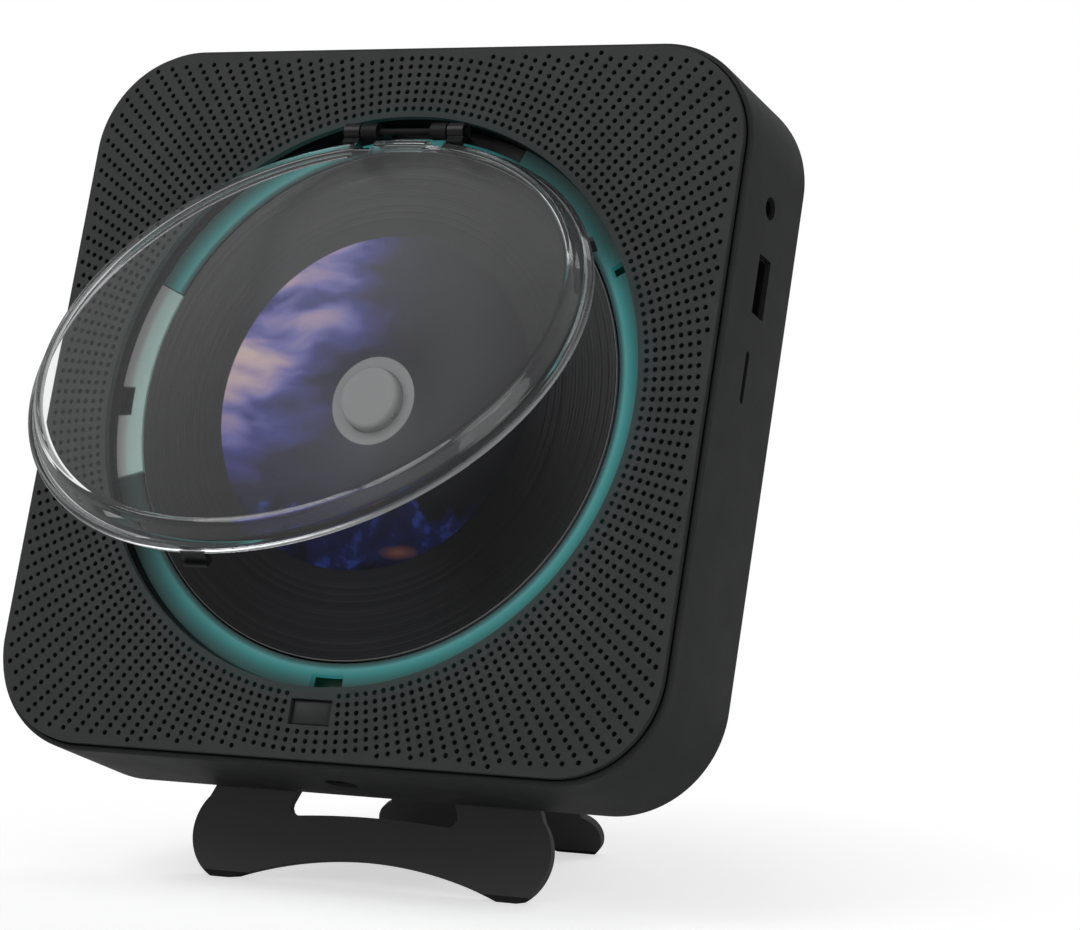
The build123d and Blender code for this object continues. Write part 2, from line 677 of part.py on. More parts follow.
# ---------------------------------------------------------------- cover latch
def latch_button():
    half_w, half_h = TILE_W / 2, TILE_H / 2
    y = (TILE_Y - half_h, TILE_Y + half_h)
    tile = block((-half_w, half_w), y, (-PANEL_T - 0.4, TILE_PROUD))
    tile = chamfer(tile.faces().sort_by(Axis.Z)[-1].edges(), 0.25)
    flange = block((-half_w - 0.8, half_w + 0.8), (y[0] - 0.8, y[1] + 0.8), (-PANEL_T - 1.4, -PANEL_T - 0.4))
    stem = block((-3, 3), (y[0] + 0.6, y[1] - 0.5), (TILE_STEM_Z, -PANEL_T - 1.4))
    return tile + flange + stem


def latch_catch():
    base = block((-4, 4), (TILE_Y - 3.2, CATCH_NOSE_Y - 0.9), CATCH_BASE_Z)
    upright = block((-4, 4), (CATCH_NOSE_Y - 2.7, CATCH_NOSE_Y - 0.9), (CATCH_BASE_Z[1], CATCH_NOSE_Z[1]))
    nose = block((-3.5, 3.5), (CATCH_NOSE_Y - 0.9, CATCH_NOSE_Y), CATCH_NOSE_Z)
    return base + upright + nose


# ---------------------------------------------------------------- disc and spindle
def compact_disc():
    return collar(DISC_HOLE_R, DISC_R, (DISC_BOTTOM_Z, DISC_TOP_Z))


def ball_places():
    return [polar(BALL_ORBIT_R, 90 + i * 360 / BALL_COUNT) for i in range(BALL_COUNT)]


def ball_z():
    """The balls press on the upper edge of the disc's hole from just above it."""
    reach = DISC_HOLE_R - BALL_ORBIT_R
    return DISC_TOP_Z + math.sqrt((BALL_R + 0.06) ** 2 - reach**2)


def spindle_hub():
    platter = post(PLATTER_R, (DISC_BOTTOM_Z - PLATTER_T, DISC_BOTTOM_Z))
    sleeve = post(4.0, (CHASSIS_TOP_Z + 0.8, DISC_BOTTOM_Z))
    boss = post(HUB_R, (DISC_BOTTOM_Z, HUB_TOP_Z))
    boss = fillet(boss.edges().sort_by(Axis.Z)[-1], 1.2)
    hub = platter + sleeve + boss - post(SHAFT_R, (CHASSIS_TOP_Z, HUB_TOP_Z - 1.2))
    for x, y in ball_places():
        hub -= Pos(x, y, ball_z()) * Sphere(BALL_R + 0.04)
    return hub


def clamp_balls():
    return [Pos(x, y, ball_z()) * Sphere(BALL_R) for x, y in ball_places()]


def spindle_shaft():
    return post(SHAFT_R, (CHASSIS_BACK_Z - SPINDLE_MOTOR_H + 1.0, HUB_TOP_Z - 1.2))


def spindle_motor():
    bottom = CHASSIS_BACK_Z - SPINDLE_MOTOR_H
    can = post(SPINDLE_MOTOR_R, (bottom, CHASSIS_BACK_Z))
    can = fillet(can.edges().sort_by(Axis.Z)[0], 1.0)
    can += post(3.0, (CHASSIS_BACK_Z, CHASSIS_TOP_Z + 0.4))
    return can - post(SHAFT_R + RUNNING_FIT, (bottom + 0.8, 0))


# ---------------------------------------------------------------- pickup mechanism
def mechanism_chassis():
    z = (CHASSIS_BACK_Z, CHASSIS_TOP_Z)
    plate = block((-CHASSIS_HALF_W, CHASSIS_HALF_W), CHASSIS_Y, z)
    plate = fillet(plate.edges().filter_by(Axis.Z), 5.0)
    through = (z[0] - 1, z[1] + 1)
    plate -= block((-LENS_SLOT_W / 2, LENS_SLOT_W / 2), (LENS_SLOT_Y[0] - 1, CHASSIS_Y[1] - 4), through)
    plate -= post(3.1, through)
    for y in rod_brackets():
        rails = block((-ROD_X - 4, ROD_X + 4), y, (ROD_Z - 2.4, z[0] + 0.2))
        rails -= block((-10, 10), (y[0] - 1, y[1] + 1), (ROD_Z - 3, ROD_Z + 1.6))
        plate += rails
    motor_plate = block((SCREW_X - 5.4, SCREW_X + 4), sled_motor_bracket(), (ROD_Z - 5.0, z[0] + 0.2))
    plate += motor_plate
    motor_front = sled_motor_bracket()[0]
    plate -= rod_y(SLED_MOTOR_R + 0.3, (motor_front - SLED_MOTOR_L - 0.4, motor_front), SCREW_X, ROD_Z)
    for x in (-ROD_X, ROD_X):
        plate -= rod_y(ROD_R, (rod_ends()[0], rod_ends()[1]), x, ROD_Z)
    return plate - rod_y(SCREW_R + RUNNING_FIT, (0, CHASSIS_Y[1] - 0.6), SCREW_X, ROD_Z)


def rod_brackets():
    """Low and high y of the two cross walls that hold the guide rods."""
    near = SLED_Y[0] - 1.2
    far = SLED_Y[1] + SLED_TRAVEL + 1.2
    return (near - BRACKET_T, near), (far, far + BRACKET_T)


def rod_ends():
    near, far = rod_brackets()
    return near[0] + 0.4, far[1] - 0.4


def sled_motor_bracket():
    return rod_brackets()[0][0] - 1.0, rod_brackets()[0][0] + 0.5


def chassis_dampers():
    z = (CHASSIS_TOP_Z, WELL_BOTTOM_Z)
    return [collar_at(1.4, DAMPER_R, z, x, y) for x in (-DAMPER_X, DAMPER_X) for y in DAMPER_Y]


def collar_at(inner, outer, z, x, y):
    return post(outer, z, x, y) - post(inner, (z[0] - 1, z[1] + 1), x, y)


def guide_rods():
    return [rod_y(ROD_R, rod_ends(), x, ROD_Z) for x in (-ROD_X, ROD_X)]


def sled_motor():
    front = sled_motor_bracket()[0]
    can = rod_y(SLED_MOTOR_R, (front - SLED_MOTOR_L, front), SCREW_X, ROD_Z)
    return can - rod_y(SCREW_R + RUNNING_FIT, (front - 5, front + 1), SCREW_X, ROD_Z)


def lead_screw():
    start = sled_motor_bracket()[0] - 4.5
    end = CHASSIS_Y[1] - 0.8
    screw = rod_y(SCREW_R, (start, end), SCREW_X, ROD_Z)
    turns = int((end - start - 14) / SCREW_PITCH)
    for i in range(turns):
        y = SLED_Y[0] + SCREW_PITCH * (i + 0.5)
        if y < end - 3:
            band = (y, y + 0.8)
            screw -= rod_y(SCREW_R + 1, band, SCREW_X, ROD_Z) - rod_y(SCREW_R - 0.3, band, SCREW_X, ROD_Z)
    return screw


def pickup_sled():
    body = block((-SLED_HALF_W, SLED_HALF_W), SLED_Y, SLED_Z)
    body = fillet(body.edges().filter_by(Axis.Z), 1.5)
    nut_y = ((SLED_Y[0] + SLED_Y[1]) / 2 - 3, (SLED_Y[0] + SLED_Y[1]) / 2 + 3)
    body += block((SCREW_X - 2.6, -SLED_HALF_W + 1), nut_y, SLED_Z)
    tower = block(
        (-LENS_HOLDER[0] / 2, LENS_HOLDER[0] / 2),
        (LENS_Y - LENS_HOLDER[1] / 2, LENS_Y + LENS_HOLDER[1] / 2),
        (SLED_Z[1] - 0.5, LENS_TOP_Z - 1.4),
    )
    body += tower
    for x in (-ROD_X, ROD_X):
        body -= rod_y(ROD_R + RUNNING_FIT, (SLED_Y[0] - 1, SLED_Y[1] + 1), x, ROD_Z)
    body -= rod_y(SCREW_R + RUNNING_FIT, (nut_y[0] - 1, nut_y[1] + 1), SCREW_X, ROD_Z)
    return body - post(LENS_R + LENS_FIT, (SLED_Z[1], 0), 0, LENS_Y)


def pickup_lens():
    lens = post(LENS_R, (LENS_TOP_Z - 3.0, LENS_TOP_Z), 0, LENS_Y)
    return fillet(lens.edges().sort_by(Axis.Z)[-1], 0.8)


# ---------------------------------------------------------------- speakers
def speaker_basket(side):
    x, y = side * SPEAKER_X, SPEAKER_Y
    rim_z = (WELL_BOTTOM_Z, WELL_BOTTOM_Z + SPEAKER_RIM_T)
    basket = collar_at(SPEAKER_R - 1.2, SPEAKER_RIM_R, rim_z, x, y)
    cup_z = (WELL_BOTTOM_Z - SPEAKER_H, WELL_BOTTOM_Z)
    basket += collar_at(SPEAKER_R - 1.2, SPEAKER_R, cup_z, x, y)
    basket += collar_at(4.2, SPEAKER_R, (cup_z[0], cup_z[0] + 1.2), x, y)
    for i in range(4):
        window = Pos(x, y, cup_z[0] + 4.4) * Rot(0, 0, 45 + 90 * i) * Pos(SPEAKER_R, 0, 0) * Box(8, 12, 4.4)
        basket -= window
    return basket


def speaker_magnet(side):
    top = WELL_BOTTOM_Z - SPEAKER_H
    magnet = post(MAGNET_R, (top - MAGNET_H, top), side * SPEAKER_X, SPEAKER_Y)
    return magnet + post(3.6, (top, top + 3.0), side * SPEAKER_X, SPEAKER_Y)


def speaker_cone(side):
    """A paper cone with a roll surround and a dust cap, in one pressed sheet."""
    rim_z = WELL_BOTTOM_Z + SPEAKER_RIM_T
    outline = Polyline(
        (0, rim_z - 3.6),
        (4.5, rim_z - 5.0),
        (12.0, rim_z - 1.4),
        (SPEAKER_R - 1.4, rim_z),
        (SPEAKER_RIM_R - 0.6, rim_z),
        (SPEAKER_RIM_R - 0.6, rim_z + CONE_T),
        (SPEAKER_R - 1.6, rim_z + CONE_T + 0.6),
        (12.0, rim_z - 1.4 + CONE_T + 0.2),
        (4.5, rim_z - 5.0 + CONE_T + 0.2),
        (0, rim_z - 3.6 + CONE_T),
        close=True,
    )
    cone = revolve(Plane.XZ * make_face(outline), Axis.Z, 360)
    return Pos(side * SPEAKER_X, SPEAKER_Y, 0) * cone


# ---------------------------------------------------------------- sockets
def usb_z():
    return PORT_BOARD_BACK_Z - USB_BODY[2] / 2


def card_z():
    return PORT_BOARD_BACK_Z - CARD_BODY[2] / 2


def port_board_z():
    return PORT_BOARD_BACK_Z, PORT_BOARD_BACK_Z + PORT_BOARD_T


def port_board():
    board = block(PORT_BOARD_X, PORT_BOARD_Y, port_board_z())
    half = JACK_BODY[1] / 2 + 0.2
    return board - block((jack_x()[0] - 0.3, HALF), (JACK_Y - half, JACK_Y + half), (BACK_Z, 0))


def jack_x():
    return INNER_HALF - 0.2 - JACK_BODY[0], INNER_HALF - 0.2


def headphone_jack():
    half_y, half_z = JACK_BODY[1] / 2, JACK_BODY[2] / 2
    jack = block(jack_x(), (JACK_Y - half_y, JACK_Y + half_y), (JACK_Z - half_z, JACK_Z + half_z))
    jack += rod_x(JACK_NOSE_R, (jack_x()[1], HALF - SOCKET_RECESS), JACK_Y, JACK_Z)
    return jack - rod_x(JACK_BORE_R, (jack_x()[0] + 1.0, HALF), JACK_Y, JACK_Z)


def usb_socket():
    x = (HALF - SOCKET_RECESS - USB_BODY[0], HALF - SOCKET_RECESS)
    half_y, half_z = USB_BODY[1] / 2, USB_BODY[2] / 2
    shell = block(x, (USB_Y - half_y, USB_Y + half_y), (usb_z() - half_z, usb_z() + half_z))
    hollow = block(
        (x[0] + 5.0, x[1] + 1),
        (USB_Y - half_y + USB_METAL, USB_Y + half_y - USB_METAL),
        (usb_z() - half_z + USB_METAL, usb_z() + half_z - USB_METAL),
    )
    half_t = USB_TONGUE[2] / 2
    tongue_bar = block(
        (x[0] + 4.8, x[0] + 5.0 + USB_TONGUE[0]),
        (USB_Y - USB_TONGUE[1] / 2, USB_Y + USB_TONGUE[1] / 2),
        (usb_z() + 1.0 - half_t, usb_z() + 1.0 + half_t),
    )
    return shell - hollow + tongue_bar


def card_socket():
    x = (INNER_HALF - 0.2 - CARD_BODY[0], INNER_HALF - 0.2)
    half_y, half_z = CARD_BODY[1] / 2, CARD_BODY[2] / 2
    case = block(x, (CARD_Y - half_y, CARD_Y + half_y), (card_z() - half_z, card_z() + half_z))
    return case - block(
        (x[0] + 0.8, x[1] + 1),
        (CARD_Y - CARD_SLOT[0] / 2, CARD_Y + CARD_SLOT[0] / 2),
        (card_z() - CARD_SLOT[1] / 2, card_z() + CARD_SLOT[1] / 2),
    )


def power_inlet():
    half_x, half_z = INLET_BODY[0] / 2, INLET_BODY[2] / 2
    y = (-INNER_HALF + 0.2, -INNER_HALF + 0.2 + INLET_BODY[1])
    inlet = block((-half_x, half_x), y, (INLET_Z - half_z, INLET_Z + half_z))
    inlet += block((-3, 3), (y[0] + 1, y[1] - 1), (MAIN_BOARD_Z[1], INLET_Z - half_z))
    inlet += rod_y(INLET_NOSE_R, (-HALF + SOCKET_RECESS, y[0]), 0, INLET_Z)
    inlet -= rod_y(INLET_BORE_R, (-HALF, y[1] - 1.5), 0, INLET_Z)
    return inlet + rod_y(INLET_PIN_R, (-INNER_HALF, y[1] - 1.4), 0, INLET_Z)


# ---------------------------------------------------------------- boards and buttons
def main_board():
    board = block((-MAIN_BOARD_X, MAIN_BOARD_X), MAIN_BOARD_Y, MAIN_BOARD_Z)
    return board + block((-8, 8), (-INNER_HALF + 1.0, MAIN_BOARD_Y[0] + 0.5), MAIN_BOARD_Z)


def board_components():
    z = MAIN_BOARD_Z[1]
    foot = MAIN_BOARD_Y[0]
    chips = []
    for x, up, w, d, h in CHIPS:
        y = foot + up
        chips.append(block((x - w / 2, x + w / 2), (y - d / 2, y + d / 2), (z, z + h)))
    return chips


def button_board():
    half = button_board_half()
    return block((-half, half), button_board_y(), (BUTTON_Z - 5, BUTTON_Z + 5))


def tact_switches():
    switches = []
    for i in range(len(BUTTONS)):
        x = button_x(i)
        half = SWITCH_BODY / 2
        low = button_board_y()[1]
        body = block((x - half, x + half), (low, low + SWITCH_H - 0.8), (BUTTON_Z - half, BUTTON_Z + half))
        switches.append(body + rod_y(1.2, (low + SWITCH_H - 0.8, low + SWITCH_H - 0.1), x, BUTTON_Z))
    return switches


def button_cap(index):
    x = button_x(index)
    flange = button_flange_y()
    key = pill(x, BUTTON_W, BUTTON_D, (flange[0] + 0.2, HALF + BUTTON_PROUD))
    key = fillet(key.faces().sort_by(Axis.Y)[-1].edges(), 0.3)
    return key + pill(x, BUTTON_W + 1.6, BUTTON_D + 1.6, flange)


# ---------------------------------------------------------------- desk stand
def leg_outline():
    """The front leg: a tapering plate that ends in two round lobes with flat feet and an arch."""
    neck_y = FOOT_Y + NECK_RISE
    lobe_y = FOOT_Y + LOBE_RISE
    right = [
        Line((0, LEG_TOP_Y), (LEG_TOP_HALF_W - 8, LEG_TOP_Y)),
        RadiusArc((LEG_TOP_HALF_W - 8, LEG_TOP_Y), (LEG_TOP_HALF_W, LEG_TOP_Y - 8), 8),
        Line((LEG_TOP_HALF_W, LEG_TOP_Y - 8), (LEG_TOP_HALF_W, LEG_SHOULDER_Y)),
        Line((LEG_TOP_HALF_W, LEG_SHOULDER_Y), (NECK_X, neck_y)),
        ThreePointArc((NECK_X, neck_y), (LOBE_X, lobe_y), (FOOT_FLAT_X[1], FOOT_Y)),
        Line((FOOT_FLAT_X[1], FOOT_Y), (FOOT_FLAT_X[0], FOOT_Y)),
        ThreePointArc(
            (FOOT_FLAT_X[0], FOOT_Y),
            (FOOT_FLAT_X[0] * 0.5, FOOT_Y + ARCH_RISE * 0.75),
            (0, FOOT_Y + ARCH_RISE),
        ),
    ]
    half = make_face(Wire([*right, Line((0, FOOT_Y + ARCH_RISE), (0, LEG_TOP_Y))]))
    return half + mirror(half, Plane.YZ)


def leg_slot():
    """The opening under the case, with a floor that follows the arch."""
    top_x, low_x = SLOT_HALF_W
    floor_x = low_x - 1.2
    corner_y = SLOT_FLOOR_Y - SLOT_CORNER_DROP
    sides = Polyline(
        (-floor_x, corner_y),
        (-low_x, SLOT_SIDE_Y),
        (-top_x, SLOT_TOP_Y),
        (top_x, SLOT_TOP_Y),
        (low_x, SLOT_SIDE_Y),
        (floor_x, corner_y),
    )
    floor = ThreePointArc((floor_x, corner_y), (0, SLOT_FLOOR_Y), (-floor_x, corner_y))
    return make_face(Wire([*sides.edges(), floor]))


def leg_blank():
    return extrude(Plane.XY.offset(STAND_BACK_Z) * leg_outline(), STAND_T)


def pad_band():
    """The lowest strip of the front leg, which is rubber."""
    return block((-HALF, HALF), (FOOT_Y - 1, FOOT_Y + PAD_T), (STAND_BACK_Z - 1, STAND_FRONT_Z + 1))


def stand_front_leg():
    plate = leg_blank() - pad_band()
    slot = extrude(Plane.XY.offset(STAND_BACK_Z - 1) * leg_slot(), STAND_T + 2)
    slot = fillet(slot.edges().filter_by(Axis.Z), SLOT_CORNER_R * 0.4)
    plate -= slot
    for x, y in STAND_BOSSES:
        plate -= post(STAND_SCREW_R + 0.2, (STAND_BACK_Z - 1, STAND_FRONT_Z + 1), x, y)
    ear = rod_x(STAND_BARREL_R, STAND_EAR_X, STAND_HINGE_Y, STAND_HINGE_Z)
    across = (STAND_HINGE_Y - STAND_BARREL_R, STAND_HINGE_Y + STAND_BARREL_R)
    ear += block(STAND_EAR_X, across, (STAND_HINGE_Z, STAND_BACK_Z + 0.4))
    return plate + mirrored(ear) - rod_x(STAND_PIN_R, (-30, 30), STAND_HINGE_Y, STAND_HINGE_Z)


def stand_screws():
    screws = []
    for x, y in STAND_BOSSES:
        head = post(2.9, (STAND_BACK_Z - 1.4, STAND_BACK_Z), x, y)
        head = fillet(head.edges().sort_by(Axis.Z)[0], 0.6)
        shank = post(STAND_SCREW_R, (STAND_BACK_Z, BACK_INSIDE_Z), x, y)
        screws.append(head + shank - post(1.2, (STAND_BACK_Z - 2, STAND_BACK_Z - 0.6), x, y))
    return screws


def stand_hinge_pin():
    return rod_x(STAND_PIN_R, (-STAND_EAR_X[1] - 0.5, STAND_EAR_X[1] + 0.5), STAND_HINGE_Y, STAND_HINGE_Z)


def drop_to_table(y, z):
    """Height of a case-frame point over the case-frame origin, once the case leans back."""
    return y * math.cos(math.radians(LEAN)) + z * math.sin(math.radians(LEAN))


def table_height():
    """Height of the table under the case-frame origin, level with the front feet and their pads."""
    return drop_to_table(FOOT_Y, STAND_FRONT_Z)


def above_table():
    """The room over the table, in the case frame; it trims the pads so that they stand flat."""
    room = Pos(0, 0, table_height() + CASE_SIDE) * Box(4 * CASE_SIDE, 4 * CASE_SIDE, 2 * CASE_SIDE)
    return room.moved(CASE_LOCATION.inverse())


def rear_leg_length():
    """From the hinge to the foot of the leg before it is trimmed to the table."""
    tilt = math.radians(REAR_OPEN - LEAN)
    fall = drop_to_table(STAND_HINGE_Y, STAND_HINGE_Z) - table_height()
    return fall / math.cos(tilt) + STAND_T / 2 * math.tan(tilt)


def rear_outline():
    foot = -rear_leg_length()
    neck, lobe = foot + REAR_NECK_RISE, foot + REAR_LOBE_RISE
    right = [
        Line((0, REAR_STOP), (STAND_KNUCKLE_X, REAR_STOP)),
        Line((STAND_KNUCKLE_X, REAR_STOP), (STAND_KNUCKLE_X, -REAR_SHOULDER)),
        Line((STAND_KNUCKLE_X, -REAR_SHOULDER), (REAR_NECK_X, -REAR_SHOULDER - 8)),
        Line((REAR_NECK_X, -REAR_SHOULDER - 8), (REAR_NECK_X, neck)),
        ThreePointArc((REAR_NECK_X, neck), (REAR_LOBE_X, lobe), (REAR_FLAT_X[1], foot)),
        Line((REAR_FLAT_X[1], foot), (REAR_FLAT_X[0], foot)),
        ThreePointArc(
            (REAR_FLAT_X[0], foot), (REAR_FLAT_X[0] * 0.5, foot + REAR_ARCH_RISE * 0.75), (0, foot + REAR_ARCH_RISE)
        ),
    ]
    half = make_face(Wire([*right, Line((0, foot + REAR_ARCH_RISE), (0, REAR_STOP))]))
    return half + mirror(half, Plane.YZ)


def swing_out(piece):
    """Turn a piece drawn flat behind the hinge to the rear leg's open position."""
    placed = Pos(0, STAND_HINGE_Y, STAND_HINGE_Z) * piece
    return placed.rotate(Axis((0, STAND_HINGE_Y, STAND_HINGE_Z), (1, 0, 0)), REAR_OPEN)


def rear_blank():
    return extrude(Plane.XY.offset(-STAND_T / 2) * rear_outline(), STAND_T)


def rear_pad_band():
    """The lowest strip of the rear leg, which is rubber."""
    foot = -rear_leg_length()
    return block((-HALF, HALF), (foot - 1, foot + PAD_T), (-STAND_T, STAND_T))


def stand_rear_leg():
    leg = rear_blank() - rear_pad_band()
    leg += rod_x(STAND_BARREL_R, (-STAND_KNUCKLE_X, STAND_KNUCKLE_X), 0, 0)
    leg -= rod_x(STAND_PIN_R + RUNNING_FIT, (-30, 30), 0, 0)
    return swing_out(leg)


def front_foot_pads():
    return (leg_blank() & pad_band() & above_table()).solids()


def rear_foot_pads():
    return (swing_out(rear_blank() & rear_pad_band()) & above_table()).solids()


# ---------------------------------------------------------------- assembly
def all_pieces():
    pieces = {
        "housing_shell": housing_shell(),
        "back_cover": back_cover(),
        "case_screws": case_screws(),
        "speaker_grille": speaker_grille(),
        "light_ring": light_ring(),
        "ring_bezel": ring_bezel(),
        "led_ring_board": led_ring_board(),
        "ring_leds": ring_leds(),
        "display_window": display_window(),
        "display_module": display_module(),
        "ir_window": ir_window(),
        "ir_receiver": ir_receiver(),
        "disc_well": disc_well(),
        "hinge_bracket": hinge_bracket(),
        "cover_hinge_pin": cover_hinge_pin(),
        "lid_switch": lid_switch(),
        "dust_cover": dust_cover(),
        "latch_button": latch_button(),
        "latch_catch": latch_catch(),
        "compact_disc": compact_disc(),
        "spindle_hub": spindle_hub(),
        "clamp_balls": clamp_balls(),
        "spindle_shaft": spindle_shaft(),
        "spindle_motor": spindle_motor(),
        "mechanism_chassis": mechanism_chassis(),
        "chassis_dampers": chassis_dampers(),
        "guide_rods": guide_rods(),
        "sled_motor": sled_motor(),
        "lead_screw": lead_screw(),
        "pickup_sled": pickup_sled(),
        "pickup_lens": pickup_lens(),
        "port_board": port_board(),
        "headphone_jack": headphone_jack(),
        "usb_socket": usb_socket(),
        "card_socket": card_socket(),
        "power_inlet": power_inlet(),
        "main_board": main_board(),
        "board_components": board_components(),
        "button_board": button_board(),
        "tact_switches": tact_switches(),
        "stand_front_leg": stand_front_leg(),
        "stand_screws": stand_screws(),
        "front_foot_pads": front_foot_pads(),
        "stand_hinge_pin": stand_hinge_pin(),
        "stand_rear_leg": stand_rear_leg(),
        "rear_foot_pads": rear_foot_pads(),
    }
    for name, side in (("left", -1), ("right", 1)):
        pieces["speaker_basket_" + name] = speaker_basket(side)
        pieces["speaker_magnet_" + name] = speaker_magnet(side)
        pieces["speaker_cone_" + name] = speaker_cone(side)
    for i, name in enumerate(BUTTONS):
        pieces["button_" + name] = button_cap(i)
    return pieces


def as_compound(piece):
    solids = []
    for item in piece if isinstance(piece, list) else [piece]:
        solids += item.solids()
    return Compound(children=solids)


def main():
    os.makedirs("parts", exist_ok=True)
    placed = {name: as_compound(piece).moved(CASE_LOCATION) for name, piece in all_pieces().items()}
    depth = [piece.bounding_box() for piece in placed.values()]
    middle = (min(box.min.Y for box in depth) + max(box.max.Y for box in depth)) / 2
    floor = min(box.min.Z for box in depth)
    for name, piece in placed.items():
        export_step(piece.moved(Location((0, -middle, -floor))), "parts/" + name + ".step")
    print("case origin lies at y", round(-middle, 4), "z", round(-floor, 4))


main()
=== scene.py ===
import functools
import json
import math

import bmesh
import bpy
from mathutils import Matrix, Vector


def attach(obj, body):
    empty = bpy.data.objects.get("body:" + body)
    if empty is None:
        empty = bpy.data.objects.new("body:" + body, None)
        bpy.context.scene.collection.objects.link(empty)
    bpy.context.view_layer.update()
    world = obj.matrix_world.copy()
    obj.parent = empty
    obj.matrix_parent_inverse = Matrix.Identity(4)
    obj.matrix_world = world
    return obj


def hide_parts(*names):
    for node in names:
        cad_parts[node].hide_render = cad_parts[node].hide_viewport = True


bl_info = {
    "name": "Disc player looks",
    "version": (1, 0, 0),
    "blender": (4, 5, 0),
    "location": "View3D > Sidebar > Disc player",
    "description": "Detailed surfaces and materials for a disc player with a perforated front and a clear cover",
    "category": "Object",
}

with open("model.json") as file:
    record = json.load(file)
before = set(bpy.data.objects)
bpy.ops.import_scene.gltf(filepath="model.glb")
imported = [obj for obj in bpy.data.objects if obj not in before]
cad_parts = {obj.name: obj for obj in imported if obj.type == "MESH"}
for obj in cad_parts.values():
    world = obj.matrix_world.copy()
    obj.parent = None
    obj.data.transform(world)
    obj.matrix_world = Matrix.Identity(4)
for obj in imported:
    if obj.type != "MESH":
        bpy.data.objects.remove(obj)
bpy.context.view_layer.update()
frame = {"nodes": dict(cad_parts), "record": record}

# The case frame: x right, y up the case, z out of the front, millimetres, origin mid front panel.
LEAN = 20.0
UPRIGHT = math.radians(90 - LEAN)
CASE_ORIGIN = (0.0, 6.9879, 111.0482)
TO_ROW = Matrix.Translation(Vector(CASE_ORIGIN) / 1000) @ Matrix.Rotation(UPRIGHT, 4, "X")
TO_ROW_MM = TO_ROW @ Matrix.Scale(0.001, 4)

# The case and its front panel, in millimetres.
HALF = 85.0
CORNER_R = 25.0
BACK_Z = -33.0
PLATE_FRONT_Z = -30.8
SCREW_HEAD_Z = -31.5
WALL = 2.2
LIP = 1.2
LEDGE_Z = -3.4
PANEL_T = 1.8
PANEL_PLAY = 0.25
OPENING_R = 67.2
LATCH_Y = -72.9

# The ring, the disc in it and the cover over it. The ring's outer edge steps in to POCKET_R for what passes through.
RING_IN_R = 60.45
RING_OUT_R = 67.0
POCKET_R = 63.6
RING_BOTTOM_Z = -5.2
PRONG_ANGLE = math.radians(30)
DISC_R = 60.0
DISC_BORE_R = 7.5
DISC_TOP_Z = -3.2
DISC_LOW_Z = -4.4
COVER_OPEN = 29.3
COVER_DROP = 1.4
HINGE = (63.0, 3.0)
KNUCKLE_X = (11.4, 15.4)

# The stand: both legs are cut from sheet, and the rear one turns on a pin behind the front one.
LEG_Z = (-36.0, -34.0)
STAND_HINGE = (-14.0, -39.0)
STAND_BARREL_R = 2.6
FOOT_Y = -105.8
REAR_LENGTH = 90.052
REAR_OPEN = 39.5
PAD_T = 1.5


# ------------------------------------------------------------------ colour and nodes
def linear(code):
    """A six-digit sRGB colour as linear RGBA."""
    parts = [int(code[i : i + 2], 16) / 255 for i in (0, 2, 4)]
    return tuple(c / 12.92 if c <= 0.04045 else ((c + 0.055) / 1.055) ** 2.4 for c in parts) + (1.0,)


def rgba(colour):
    """A colour as linear RGBA, from an sRGB hex code or a colour setting."""
    return linear(colour) if isinstance(colour, str) else (*colour, 1.0)


BLACK = linear("000000")
WHITE = linear("ffffff")

# A Mix node's own sockets for numbers and vectors, which come between its share and its two colours.
TO_COLOURS = (None,) * 5


def add(tree, kind, *inputs, out=0, stops=(), **settings):
    """Adds a node and returns the output asked for, or the node if out is None or it has no output. A kind in
    capitals is a maths operation. Inputs go to its sockets in order: None leaves one alone, a socket is linked, a list
    of sockets is linked to one, anything else is set. Settings are attributes, or values for sockets by name, and
    stops are a ramp's (position, sRGB hex)."""
    if kind.isupper():
        kind, settings["operation"] = "ShaderNodeMath", kind
    node = tree.nodes.new(kind)
    named = {}
    for key, value in settings.items():
        if hasattr(node, key):
            setattr(node, key, value)
        else:
            named[key.replace("_", " ")] = value
    places = [(node.inputs[i], value) for i, value in enumerate(inputs) if value is not None]
    places += [(node.inputs[key], value) for key, value in named.items()]
    for socket, value in places:
        sources = [v for v in (value if isinstance(value, list) else [value]) if isinstance(v, bpy.types.NodeSocket)]
        for source in sources:
            tree.links.new(source, socket)
        if not sources:
            socket.default_value = value
    if stops:
        elements = node.color_ramp.elements
        while len(elements) < len(stops):
            elements.new(0.5)
        for element, (at, code) in zip(elements, stops):
            element.position = at
            element.color = linear(code)
    return node if out is None or not len(node.outputs) else node.outputs[out]


def material(name):
    """A new material, and the function that adds a node to its empty tree."""
    mat = bpy.data.materials.new(name)
    mat.use_nodes = True
    mat.node_tree.nodes.clear()
    return mat, functools.partial(add, mat.node_tree)


def coated(mat, put, **sockets):
    """Ends a material in a principled shader with values for these sockets."""
    put("ShaderNodeOutputMaterial", put("ShaderNodeBsdfPrincipled", **sockets))
    return mat


def case_mm(put):
    """Where a point lies in the case frame, in millimetres."""
    here = put("ShaderNodeTexCoord", out=3)
    origin = tuple(v / 1000 for v in CASE_ORIGIN)
    return put("ShaderNodeMapping", here, origin, (UPRIGHT, 0, 0), (0.001, 0.001, 0.001), vector_type="TEXTURE")


def grain(put, place, size, strength, depth):
    """A fine moulded or sprayed grain as a normal, its size and depth in millimetres."""
    noise = put("ShaderNodeTexNoise", place, None, 1.0 / size, 2.0)
    return put("ShaderNodeBump", Strength=strength, Distance=depth / 1000, Height=noise)


